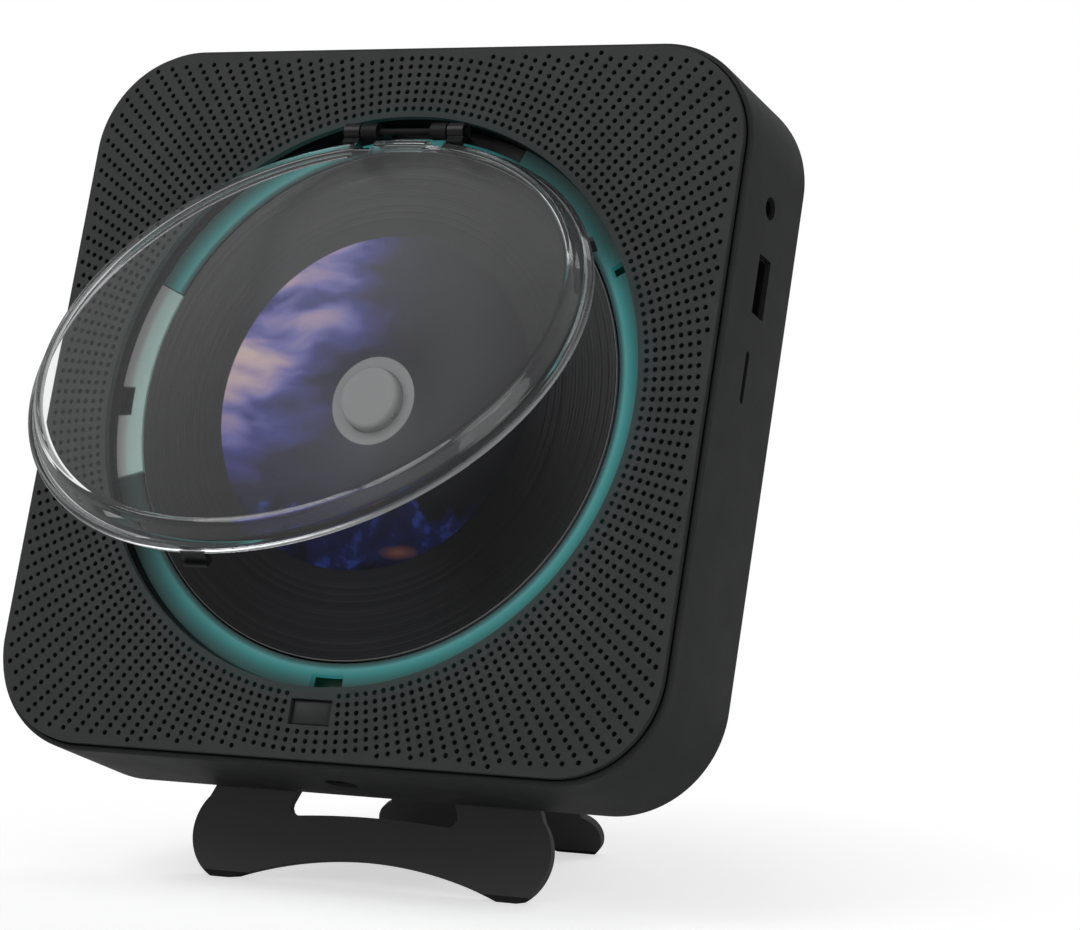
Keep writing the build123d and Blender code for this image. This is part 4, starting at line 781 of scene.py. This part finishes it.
def make_back_cover(mats):
    """The plate behind: sunk screw holes, keyholes for a wall, pads for the stand and posts for the board."""
    outline = [(x, y) for x, y, _ in rounded_square(82.6, 22.6, 0, 20)]
    plate = build("back_cover_detail", prism(outline, BACK_Z, PLATE_FRONT_Z), [mats["case_plastic"]], 40)
    softened(plate, 0.4, 3, 60)
    united(plate, *rods(5.0, STAND_SCREWS, (LEG_Z[1], -32.0)))
    united(plate, *rods(3.0, BOARD_POSTS, (SCREW_HEAD_Z, -27.0)))
    holes = rods(1.5, STAND_SCREWS, (-35.0, -30.0), 32)
    for place in CASE_SCREWS:
        holes += rods(3.0, [place], (-34.0, SCREW_HEAD_Z)) + rods(1.6, [place], THROUGH_PLATE, 32)
    for x, y in KEYHOLES:
        holes += rods(4.5, [(x, y)], THROUGH_PLATE, 64)
        holes.append(tool(prism(turned_pill(x, y + 4.0, 4.4, 12.4), *THROUGH_PLATE)))
    return softened(cut(plate, *holes), 0.2, 2, 60)


def screw_tree():
    """A node group that sets a cross-head screw on every point it is given, head towards -z, in millimetres."""
    tree, put, get = new_group(
        "Cross-head screws", places="Geometry", head_radius=2.8, head_height=1.3, dome=0.4, shank_radius=1.4,
        shank_length=9.7, recess_width=0.75, recess_span=2.6, recess_depth=1.0, material="Material",
    )

    def raised(shape, z):
        return put("GeometryNodeTransform", shape, Translation=put("ShaderNodeCombineXYZ", 0.0, 0.0, z))

    crown = put("MULTIPLY", get["Head height"], -1.0)
    rim = put("SUBTRACT", get["Head height"], get["Dome"])
    head = put("GeometryNodeMeshCylinder", 40, 1, 1, get["Head radius"], rim)
    head = raised(head, put("MULTIPLY", rim, -0.5))
    top = put("MULTIPLY", get["Head radius"], 0.72)
    dome = raised(put("GeometryNodeMeshCone", 40, 1, 1, get["Head radius"], top, get["Dome"]), crown)
    shank = put("GeometryNodeMeshCylinder", 24, 1, 1, get["Shank radius"], get["Shank length"])
    shank = raised(shank, put("MULTIPLY", get["Shank length"], 0.5))
    depth = put("MULTIPLY", get["Recess depth"], 2.0)
    bars = []
    for a, b in (("Recess width", "Recess span"), ("Recess span", "Recess width")):
        size = put("ShaderNodeCombineXYZ", get[a], get[b], depth)
        bars.append(raised(put("GeometryNodeMeshCube", size), crown))
    whole = put("GeometryNodeMeshBoolean", Mesh_2=[head, dome, shank], operation="UNION", solver="EXACT")
    crossed = put("GeometryNodeMeshBoolean", Mesh_1=whole, Mesh_2=bars, operation="DIFFERENCE", solver="EXACT")
    dots = put("GeometryNodeMeshToPoints", get["Places"])
    dots = put("GeometryNodeInstanceOnPoints", dots, Instance=crossed)
    dots = put("GeometryNodeRealizeInstances", dots)
    put("NodeGroupOutput", put("GeometryNodeSetMaterial", dots, None, get["Material"]))
    return tree


def make_screws(name, mats, places, z, **sizes):
    """Screws at (x, y) places, the underside of their heads at z."""
    values = {label.replace("_", " ").capitalize(): value for label, value in sizes.items()}
    values["Material"] = mats["steel"]
    return from_nodes(name, screw_tree(), values, [(x, y, z) for x, y in places])


def make_key(mats, index):
    """One pill-shaped key along the top edge, with a crowned face and the flange that keeps it in."""
    rings = []
    for inset, y in ((0.0, 82.0), (0.0, 85.1), (0.12, 85.42), (0.4, 85.6), (0.9, 85.65), (1.6, 85.66)):
        outline = pill_outline(key_x(index), KEY_Z, 8.0 - 2 * inset, 4.4 - 2 * inset, 16)
        rings.append([(x, y, z) for x, z in outline])
    cap = build("button_" + KEYS[index] + "_detail", loft(rings), [mats["key_plastic"]], 40)
    flange = tool(prism(pill_outline(key_x(index), KEY_Z, 9.6, 6.0), -82.6, -81.6), TO_TOP)
    return united(cap, flange, smooth=40)


def make_usb(mats):
    """The socket's bent steel shell, its black tongue and four gold contacts."""
    finishes = [mats["dark_steel"], mats["inner_plastic"], mats["gold"]]
    shell = build("usb_socket_detail", bar((68.2, 84.2), (26.35, 39.45), (-18.9, -13.2)), finishes, 40)
    cut(shell, tool(bar((73.2, 85.2), (26.75, 39.05), (-18.5, -13.6))))
    softened(shell, 0.15, 2, 60)
    tongue = tool(bar((73.0, 82.2), (27.35, 38.45), (-15.95, -14.15)))
    contacts = [tool(bar((74.0, 81.8), (y - 0.5, y + 0.5), (-16.03, -15.9))) for y in (29.4, 31.9, 33.9, 36.4)]
    for part, finish in [(tongue, 1)] + [(contact, 2) for contact in contacts]:
        for mat in finishes:
            part.data.materials.append(mat)
        part.data.polygons.foreach_set("material_index", [finish] * len(part.data.polygons))
    return joined(shell, tongue, *contacts)


# ------------------------------------------------------------------ ring
def ring_section(outer, soft):
    """The ring's (radius, z) outline, its top falling towards the disc, with edges softened by so much."""
    def top(r):
        return -3.0 - 0.3 * (RING_OUT_R - r) / 6.0

    inner = RING_IN_R
    return [
        (inner, RING_BOTTOM_Z), (inner, top(inner) - soft), (inner + soft * 0.3, top(inner) - soft * 0.3),
        (inner + soft, top(inner)), (outer - soft, top(outer)), (outer, top(outer) - soft), (outer, RING_BOTTOM_Z),
    ]


def ring_piece(name, spans, step, soft, mat):
    """A piece of the ring from (start, end, outer radius) spans of angle, in steps of about so many degrees."""
    rings = []
    for start, end, outer in spans:
        count = max(2, int((end - start) / step) + 1)
        section = ring_section(outer, soft)
        for k in range(count):
            a = math.radians(start + (end - start) * k / (count - 1))
            rings.append([(r * math.cos(a), r * math.sin(a), z) for r, z in section])
    return build(name, loft(rings), [mat], 35)


def make_light_ring(mats):
    """The lit annulus, with its hinge pocket, latch notch and the slot for the cover's prong."""
    notch = math.degrees(math.asin(4.15 / 65.5))
    spans = [
        (198, 270 - notch, RING_OUT_R), (270 - notch, 270 + notch, POCKET_R), (270 + notch, 425, RING_OUT_R),
        (425, 475, POCKET_R), (475, 516, RING_OUT_R),
    ]
    ring = ring_piece("light_ring_detail", spans, 1.25, 0.25, mats["ring_plastic"])
    return cut(ring, tool(bar((-1.7, 1.7), (-1.4, 1.4), (-6, -2)), on_ring(64.7, PRONG_ANGLE)))


def make_window(mats):
    """The display window, with the notch for the infrared window."""
    spans = [(156.3, 178.4, RING_OUT_R), (178.4, 184.6, 63.7), (184.6, 197.7, RING_OUT_R)]
    return ring_piece("display_window_detail", spans, 1.0, 0.2, mats["window_plastic"])


# ------------------------------------------------------------------ disc
def make_disc(mats, disc):
    """The disc: bare centre, printed label and grooved outer band."""
    bore, middle, low, top = DISC_BORE_R, -3.8, DISC_LOW_Z, DISC_TOP_Z
    label_top = top + 0.02
    profile = round_off(
        [
            (bore, middle), (bore, low), (DISC_R, low), (DISC_R, top), (39.2, top), (39.15, label_top),
            (10.4, label_top), (10.3, top), (bore, top), (bore, middle),
        ],
        (0, 0.15, 0.3, 0.3, 0, 0, 0, 0, 0.15, 0), 4,
    )
    finishes = [mats["groove_print"], mats["label_print"], mats["disc_bare"]]
    piece = build("compact_disc_detail", lathe(profile, 256), finishes, 40)
    to_case = TO_ROW_MM.inverted()
    label, centre = disc.label_radius * 1000, disc.centre_radius * 1000
    for poly in piece.data.polygons:
        c = to_case @ poly.center
        r = math.hypot(c.x, c.y)
        bare = r < centre or c.z <= top - 0.01
        poly.material_index = 2 if bare else 1 if r < label else 0
    return piece


# ------------------------------------------------------------------ cover
def cover_fittings():
    """Knuckles on the hinge pin, the latch tongue and the switch prong, drawn on the shut cover."""
    y, z = HINGE
    parts = []
    for side in (-1, 1):
        xs = sorted(side * x for x in KNUCKLE_X)
        parts.append(rod(2.0, (xs[0], y, z), (xs[1], y, z)))
        parts.append(tool(bar(xs, (y - 3.4, y), (z - 1.4, 3.05))))
    parts.append(tool(bar((-3, 3), (-66.4, -65.0), (-6.2, -2.45))))
    parts.append(tool(bar((-3, 3), (-67.3, -66.35), (-6.2, -5.4))))
    prong_r = (POCKET_R + RING_OUT_R) / 2 - 0.6
    parts.append(tool(bar((-0.8, 0.8), (-0.9, 0.9), (-5.4, -2.45)), on_ring(prong_r, PRONG_ANGLE)))
    return parts


def make_cover(mats):
    """The clear dish, cut round the case's hinge ears, with its knuckles, latch tongue and prong."""
    corners = [
        (0, 1.85), (52, 1.85), (60.6, 1.85), (63.0, -1.85), (63.3, -2.75), (65.3, -2.75), (65.3, -1.45),
        (63.4, -0.25), (62.3, 2.25), (61.4, 3.25), (52, 3.25), (0, 3.25),
    ]
    profile = round_off(corners, (0, 0, 0.9, 0.3, 0.2, 0.35, 0.45, 0.6, 0.6, 0.5, 0, 0), 5)
    finishes = [mats["clear_plastic"], mats["shade_dark_fitting"], mats["clear_edge"]]
    drop = Matrix.Translation((0, -COVER_DROP, 0))
    dish = build("dust_cover_detail", lathe(profile, 320), finishes, 40, drop)
    cut(dish, *[rod(6.5, (s * 6.6, *HINGE), (s * KNUCKLE_X[0], *HINGE), 64) for s in (-1, 1)])
    united(dish, *cover_fittings())
    # The bore for the pin stops just outside the knuckles: any longer, and it leaves a tube through the dish.
    low, high = KNUCKLE_X[0] - 0.02, KNUCKLE_X[1] + 0.02
    cut(dish, *[rod(0.85, (s * low, *HINGE), (s * high, *HINGE), 32) for s in (-1, 1)])
    to_case = TO_ROW_MM.inverted()
    for poly in dish.data.polygons:
        c = to_case @ poly.center
        r = math.hypot(c.x, c.y + COVER_DROP)
        knuckle = 11.3 < abs(c.x) < 15.5 and c.y > 59.5 and r > 60.8
        # The knuckles and the parts that reach below the ring take the dark fitting: painted shade.
        poly.material_index = 1 if knuckle or c.z < -2.8 else 2 if r > 64.6 else 0
    axis = Matrix.Translation((0, *HINGE))
    opened = axis @ Matrix.Rotation(math.radians(-COVER_OPEN), 4, "X") @ axis.inverted()
    dish.data.transform(TO_ROW_MM @ opened @ to_case)
    return dish


# ------------------------------------------------------------------ stand
def mirrored_outline(right):
    """A whole outline from its right half, which starts and ends on the middle line."""
    return right + [(-x, y) for x, y in right[::-1] if x > 1e-6]


def front_leg_outline():
    shoulder = [math.radians(10 * k) for k in range(1, 10)]
    right = [(0, -8.0), (22.0, -8.0)]
    right += [(22 + 8 * math.sin(t), -16 + 8 * math.cos(t)) for t in shoulder]
    right += [(30.0, -58.0)]
    right += arc_through((43.3, FOOT_Y + 18.6), (46.3, FOOT_Y + 9.9), (39.6, FOOT_Y), 40)
    right += arc_through((34.6, FOOT_Y), (17.3, FOOT_Y + 4.8), (0, FOOT_Y + 6.4), 24)
    return mirrored_outline(right)


def rear_leg_outline():
    foot = -REAR_LENGTH
    right = [(0, 3.3), (11.8, 3.3), (11.8, -6.0), (25.5, -14.0)]
    right += arc_through((25.5, foot + 10.5), (30.0, foot + 4.6), (26.0, foot), 32)
    right += arc_through((20.0, foot), (10.0, foot + 2.7), (0, foot + 3.6), 20)
    return mirrored_outline(right)


def make_front_leg(mats, stand):
    """The fixed leg: its arch and slot, the holes that screw it to the case, and the ears of its hinge."""
    leg = build("stand_front_leg_detail", prism(front_leg_outline(), *LEG_Z), [mats["sheet_steel"]], 40)
    side = [(18.0, -79.0), (21.6, -87.2), (21.7, -88.3), (21.2, -89.3), (20.3, -89.95)]
    floor = arc_through((19.0, -90.1), (0, -89.3), (-19.0, -90.1), 24)
    slot = side + floor + [(-x, y) for x, y in side][::-1]
    through = (-37, -33)
    sole = tool(bar((-50, 50), (-110, FOOT_Y + PAD_T), through))
    cut(leg, tool(prism(slot, *through)), sole, *rods(1.7, STAND_SCREWS, through, 32))
    y, z = STAND_HINGE
    ears = []
    for s in (-1, 1):
        xs = sorted((s * 12.2, s * 20.0))
        ears.append(rod(STAND_BARREL_R, (xs[0], y, z), (xs[1], y, z)))
        ears.append(tool(bar(xs, (y - STAND_BARREL_R, y + STAND_BARREL_R), (z, -35.5))))
    united(leg, *ears)
    cut(leg, rod(1.2, (-22, y, z), (22, y, z), 32))
    return softened(leg, stand.edge * 1000, 2, 40)


def make_rear_leg(mats, stand):
    """The leg that swings out behind, drawn flat about its pin and then opened."""
    leg = build("stand_rear_leg_detail", prism(rear_leg_outline(), -1.0, 1.0), [mats["sheet_steel"]], 40)
    cut(leg, tool(bar((-40, 40), (-REAR_LENGTH - 5, -REAR_LENGTH + PAD_T), (-3, 3))))
    united(leg, rod(STAND_BARREL_R, (-11.8, 0, 0), (11.8, 0, 0)))
    cut(leg, rod(1.25, (-13, 0, 0), (13, 0, 0), 32))
    place = Matrix.Translation((0, *STAND_HINGE)) @ Matrix.Rotation(math.radians(REAR_OPEN), 4, "X")
    leg.data.transform(TO_ROW_MM @ place @ TO_ROW_MM.inverted())
    return softened(leg, stand.edge * 1000, 2, 40)


def make_latch(mats):
    """The raised square button under the ring, with its flange and stem."""
    tile = build("latch_button_detail", bar((-5.15, 5.15), (-75.8, -70.0), (-2.2, 0.9)), [mats["key_plastic"]], 40)
    softened(tile, 0.6, 4, 60)
    flange = tool(bar((-5.95, 5.95), (-76.6, -69.2), (-3.2, -2.3)))
    stem = tool(bar((-3, 3), (-75.2, -70.5), (-5.4, -3.1)))
    return united(tile, flange, stem)


# ------------------------------------------------------------------ stage
def seen_directly(put):
    """1 for rays from the eye, straight or through clear plastic; 0 for reflections and what lights the object."""
    path = put("ShaderNodeLightPath", out=None).outputs
    unreflected = put("LESS_THAN", path["Glossy Depth"], 0.5)
    through = put("MULTIPLY", path["Is Transmission Ray"], unreflected)
    return put("MAXIMUM", path["Is Camera Ray"], through)


def floor_material(stage):
    """A pale floor that keeps the shadow near the object and fades to plain white further out."""
    mat, put = material("Plain pale floor")
    lit = put("ShaderNodeBsdfDiffuse", linear("e4e4e4"))
    near = put("ShaderNodeAddShader", lit, put("ShaderNodeEmission", WHITE, stage.floor_glow))
    reach = put("ShaderNodeVectorMath", put("ShaderNodeTexCoord", out=3), operation="LENGTH", out=1)
    fade = put("ShaderNodeMapRange", reach, 0.09, 0.17, 0.0, 1.0)
    both = put("ShaderNodeMixShader", fade, near, put("ShaderNodeEmission", WHITE, 1.0))
    put("ShaderNodeOutputMaterial", put("ShaderNodeMixShader", seen_directly(put), lit, both))
    return mat


# Each soft lamp: its name, its place and width in metres, and its power in watts.
LAMPS = (
    ("key_light", (-0.9, -1.0, 1.5), 1.0, 10.0),
    ("fill_light", (1.6, -0.6, 0.9), 0.9, 4.0),
    ("back_light", (0.2, 1.4, 1.6), 1.0, 5.0),
)
LAMP_TARGET = Vector((0, 0, 0.1))
FLOOR_HALF = 6.0

# Where the camera stands from the middle of the front panel, in metres.
CAMERA_FROM_PANEL = (0.4205, -0.7563, 0.0461)


def turned_to(obj, direction):
    """Turns a lamp or camera to look along a direction."""
    obj.rotation_mode = "QUATERNION"
    obj.rotation_quaternion = direction.to_track_quat("-Z", "Y")


def make_floor(stage):
    mesh = bpy.data.meshes.new("floor")
    s = FLOOR_HALF
    mesh.from_pydata([(-s, -s, 0), (s, -s, 0), (s, s, 0), (-s, s, 0)], [], [(0, 1, 2, 3)])
    mesh.materials.append(floor_material(stage))
    link("floor", mesh)


def make_room(stage):
    """Even light from all round, which the eye sees as plain white."""
    world = bpy.data.worlds.new("Soft room")
    world.use_nodes = True
    world.node_tree.nodes.clear()
    put = functools.partial(add, world.node_tree)
    dim = put("ShaderNodeBackground", WHITE, stage.room_light)
    white = put("ShaderNodeBackground", WHITE, 1.0)
    put("ShaderNodeOutputWorld", put("ShaderNodeMixShader", seen_directly(put), dim, white))
    bpy.context.scene.world = world


def make_lamps(stage):
    for name, place, size, power in LAMPS:
        data = bpy.data.lights.new(name, "AREA")
        data.size = size
        data.energy = power * stage.lamp_power
        light = link(name, data)
        light.location = place
        turned_to(light, LAMP_TARGET - Vector(place))


def make_camera(stage):
    data = bpy.data.cameras.new("camera")
    data.lens = stage.lens
    data.sensor_width = 36
    camera = link("camera", data)
    camera.location = [a + b / 1000 for a, b in zip(CAMERA_FROM_PANEL, CASE_ORIGIN)]
    turn, tilt = stage.turn, stage.tilt
    look = (-math.sin(turn) * math.cos(tilt), math.cos(turn) * math.cos(tilt), -math.sin(tilt))
    turned_to(camera, Vector(look))
    bpy.context.scene.camera = camera


# ------------------------------------------------------------------ settings
def colour_setting(name, description, code):
    """A colour setting whose default is an sRGB hex code."""
    return bpy.props.FloatVectorProperty(
        name=name, description=description, subtype="COLOR", size=3, min=0.0, max=1.0, default=linear(code)[:3],
    )


def length_setting(name, description, mm):
    """A length setting, kept in metres, whose default is in millimetres."""
    return bpy.props.FloatProperty(
        name=name, description=description, default=mm / 1000, min=0.0, unit="LENGTH", precision=5,
    )


def angle_setting(name, description, degrees):
    """An angle setting, kept in radians, whose default is in degrees."""
    return bpy.props.FloatProperty(
        name=name, description=description, default=math.radians(degrees), subtype="ANGLE",
    )


def number_setting(name, description, value, low=0.0):
    return bpy.props.FloatProperty(name=name, description=description, default=value, min=low)


def count_setting(name, description, value, low):
    return bpy.props.IntProperty(name=name, description=description, default=value, min=low)


class PlayerCaseSettings(bpy.types.PropertyGroup):
    """Colours of the case, its front panel and its keys."""

    colour: colour_setting("Case colour", "Colour of the moulded case and the cover behind it", "2b2c2c")
    panel_colour: colour_setting("Panel colour", "Colour of the sprayed front panel", "373838")
    key_colour: colour_setting("Key colour", "Colour of the keys and of the cover's latch button", "2b2c2c")


class PlayerPanelSettings(bpy.types.PropertyGroup):
    """Sizes of the holes in the front panel."""

    hole_diameter: length_setting("Hole diameter", "Diameter of each sound hole", 1.22)
    rays: count_setting("Rays", "Number of rays of holes round the disc", 198, 12)
    first_row: length_setting("First row", "Radius of the innermost row of holes", 69.2)
    row_pitch: length_setting("Row pitch", "Distance from one row of holes to the next", 2.06)
    rows: count_setting("Rows", "Number of rows of holes, out to the corners", 25, 1)


class PlayerRingSettings(bpy.types.PropertyGroup):
    """Look of the lit ring."""

    glow: number_setting("Glow", "Strength of the lamps' light where it leaves the ring", 1.0)


class PlayerDiscSettings(bpy.types.PropertyGroup):
    """Sizes and colours of the disc."""

    label_radius: length_setting("Label radius", "Outer radius of the printed label", 39.2)
    centre_radius: length_setting("Centre radius", "Outer radius of the bare centre", 10.35)
    groove_pitch: length_setting("Groove pitch", "Distance between the drawn grooves", 0.8)
    centre_colour: colour_setting("Centre colour", "Colour of the bare centre and the hub", "8c8d8d")


class PlayerCoverSettings(bpy.types.PropertyGroup):
    """Look of the clear cover."""

    tint: colour_setting("Tint", "Colour that the cover's plastic gives to what is seen through it", "fafbfb")
    edge_colour: colour_setting("Edge colour", "Colour of the cover's outer lip", "8e9294")


class PlayerStandSettings(bpy.types.PropertyGroup):
    """Sizes and colours of the stand."""

    colour: colour_setting("Stand colour", "Colour of the powder coat on the stand's legs", "4c4c4c")
    edge: length_setting("Edge rounding", "Width of the soft edge on the sheet legs", 0.3)


class PlayerStageSettings(bpy.types.PropertyGroup):
    """Camera, floor and light."""

    lamp_power: number_setting("Lamp power", "Scale of the power of all three soft lamps", 1.0)
    room_light: number_setting("Room light", "Strength of the even light from all round", 0.35)
    floor_glow: number_setting("Floor glow", "White added to the floor where the eye sees it", 0.55)
    lens: number_setting("Lens", "Focal length in millimetres on a 36 mm sensor", 128.0, 10.0)
    turn: angle_setting("Turn", "How far the camera looks to the left of straight ahead", 26.5)
    tilt: angle_setting("Tilt", "How far the camera looks down", 4.04)


SETTINGS = {
    "player_case": PlayerCaseSettings, "player_panel": PlayerPanelSettings, "player_ring": PlayerRingSettings,
    "player_disc": PlayerDiscSettings, "player_cover": PlayerCoverSettings, "player_stand": PlayerStandSettings,
    "player_stage": PlayerStageSettings,
}

# ------------------------------------------------------------------ operators
SLOTS = {part["node"]: part["material_slot"] for part in frame["record"]["subparts"]}
FINISHES = {}

# Nodes whose finish differs from that of their slot.
NODE_FINISH = {"spindle_hub": "hub_grey", "cover_hinge_pin": "dark_steel", "stand_hinge_pin": "dark_steel"}


def stands_for(piece, body, node):
    """Puts a detailed piece in a node's place: it rides on the body, and the node is hidden."""
    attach(piece, body)
    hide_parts(node)
    print(node, len(piece.data.polygons), "faces")


class PLAYER_OT_finishes(bpy.types.Operator):
    """Make every material and give one to each piece of the frame"""

    bl_idname = "player.finishes"
    bl_label = "Finishes"

    def execute(self, context):
        FINISHES.update(make_materials(context.scene))
        for name, obj in frame["nodes"].items():
            obj.data.materials.clear()
            obj.data.materials.append(FINISHES[NODE_FINISH.get(name, SLOTS[name])])
        return {"FINISHED"}


class PLAYER_OT_housing(bpy.types.Operator):
    """Make the square shell with its openings and the plate that closes it behind"""

    bl_idname = "player.housing"
    bl_label = "Housing and back cover"

    def execute(self, context):
        stands_for(make_housing(FINISHES), "case", "housing_shell")
        stands_for(make_back_cover(FINISHES), "case", "back_cover")
        return {"FINISHED"}


class PLAYER_OT_speaker_grille(bpy.types.Operator):
    """Make the perforated front panel"""

    bl_idname = "player.speaker_grille"
    bl_label = "Front panel"

    def execute(self, context):
        stands_for(make_grille(FINISHES, context.scene.player_panel), "case", "speaker_grille")
        return {"FINISHED"}


class PLAYER_OT_light_ring(bpy.types.Operator):
    """Make the lit ring and the display window set in it"""

    bl_idname = "player.light_ring"
    bl_label = "Light ring and window"

    def execute(self, context):
        stands_for(make_light_ring(FINISHES), "case", "light_ring")
        stands_for(make_window(FINISHES), "case", "display_window")
        return {"FINISHED"}


class PLAYER_OT_disc(bpy.types.Operator):
    """Make the printed disc"""

    bl_idname = "player.disc"
    bl_label = "Disc"

    def execute(self, context):
        stands_for(make_disc(FINISHES, context.scene.player_disc), "spindle", "compact_disc")
        return {"FINISHED"}


class PLAYER_OT_cover(bpy.types.Operator):
    """Make the clear hinged cover"""

    bl_idname = "player.cover"
    bl_label = "Clear cover"

    def execute(self, context):
        stands_for(make_cover(FINISHES), "cover", "dust_cover")
        return {"FINISHED"}


class PLAYER_OT_latch(bpy.types.Operator):
    """Make the square button that lets the cover go"""

    bl_idname = "player.latch"
    bl_label = "Latch button"

    def execute(self, context):
        stands_for(make_latch(FINISHES), "latch", "latch_button")
        return {"FINISHED"}


class PLAYER_OT_keys(bpy.types.Operator):
    """Make the row of keys along the top edge"""

    bl_idname = "player.keys"
    bl_label = "Keys"

    def execute(self, context):
        for index, name in enumerate(KEYS):
            stands_for(make_key(FINISHES, index), "button_" + name + "_key", "button_" + name)
        return {"FINISHED"}


class PLAYER_OT_sockets(bpy.types.Operator):
    """Make the socket on the right side"""

    bl_idname = "player.sockets"
    bl_label = "Socket"

    def execute(self, context):
        stands_for(make_usb(FINISHES), "case", "usb_socket")
        return {"FINISHED"}


class PLAYER_OT_screws(bpy.types.Operator):
    """Make the screws of the case and of the stand"""

    bl_idname = "player.screws"
    bl_label = "Screws"

    def execute(self, context):
        case = make_screws(
            "case_screws_detail", FINISHES, CASE_SCREWS, SCREW_HEAD_Z, head_height=1.3, shank_length=9.7,
        )
        stands_for(case, "case", "case_screws")
        stand = make_screws(
            "stand_screws_detail", FINISHES, STAND_SCREWS, LEG_Z[0], head_radius=2.9, head_height=1.4, dome=0.6,
            shank_radius=1.5, shank_length=5.2, recess_depth=0.9,
        )
        stands_for(stand, "case", "stand_screws")
        return {"FINISHED"}


class PLAYER_OT_stand(bpy.types.Operator):
    """Make the stand's two sheet legs"""

    bl_idname = "player.stand"
    bl_label = "Stand"

    def execute(self, context):
        stand = context.scene.player_stand
        stands_for(make_front_leg(FINISHES, stand), "case", "stand_front_leg")
        stands_for(make_rear_leg(FINISHES, stand), "rear_leg", "stand_rear_leg")
        return {"FINISHED"}


class PLAYER_OT_stage(bpy.types.Operator):
    """Make the floor, the soft light and the camera"""

    bl_idname = "player.stage"
    bl_label = "Stage"

    def execute(self, context):
        stage = context.scene.player_stage
        context.scene.view_settings.view_transform = "Standard"
        make_floor(stage)
        make_room(stage)
        make_lamps(stage)
        make_camera(stage)
        return {"FINISHED"}


OPERATORS = (
    PLAYER_OT_finishes, PLAYER_OT_housing, PLAYER_OT_speaker_grille, PLAYER_OT_light_ring, PLAYER_OT_disc,
    PLAYER_OT_cover, PLAYER_OT_latch, PLAYER_OT_keys, PLAYER_OT_sockets, PLAYER_OT_screws, PLAYER_OT_stand,
    PLAYER_OT_stage,
)


class PLAYER_PT_looks(bpy.types.Panel):
    """Lists the steps that make the player, with their settings"""

    bl_idname = "PLAYER_PT_looks"
    bl_label = "Disc player"
    bl_space_type = "VIEW_3D"
    bl_region_type = "UI"
    bl_category = "Disc player"

    def draw(self, context):
        for holder, group in SETTINGS.items():
            box = self.layout.box()
            for name in group.__annotations__:
                box.prop(getattr(context.scene, holder), name)
        for operator in OPERATORS:
            self.layout.operator(operator.bl_idname)


def register():
    for group in SETTINGS.values():
        bpy.utils.register_class(group)
    for holder, group in SETTINGS.items():
        setattr(bpy.types.Scene, holder, bpy.props.PointerProperty(type=group))
    for operator in OPERATORS:
        bpy.utils.register_class(operator)
    bpy.utils.register_class(PLAYER_PT_looks)


def unregister():
    bpy.utils.unregister_class(PLAYER_PT_looks)
    for operator in reversed(OPERATORS):
        bpy.utils.unregister_class(operator)
    for holder in SETTINGS:
        delattr(bpy.types.Scene, holder)
    for group in reversed(SETTINGS.values()):
        bpy.utils.unregister_class(group)


def main():
    register()
    for operator in OPERATORS:
        group, step = operator.bl_idname.split(".")
        getattr(getattr(bpy.ops, group), step)()


if __name__ == "__main__":
    main()
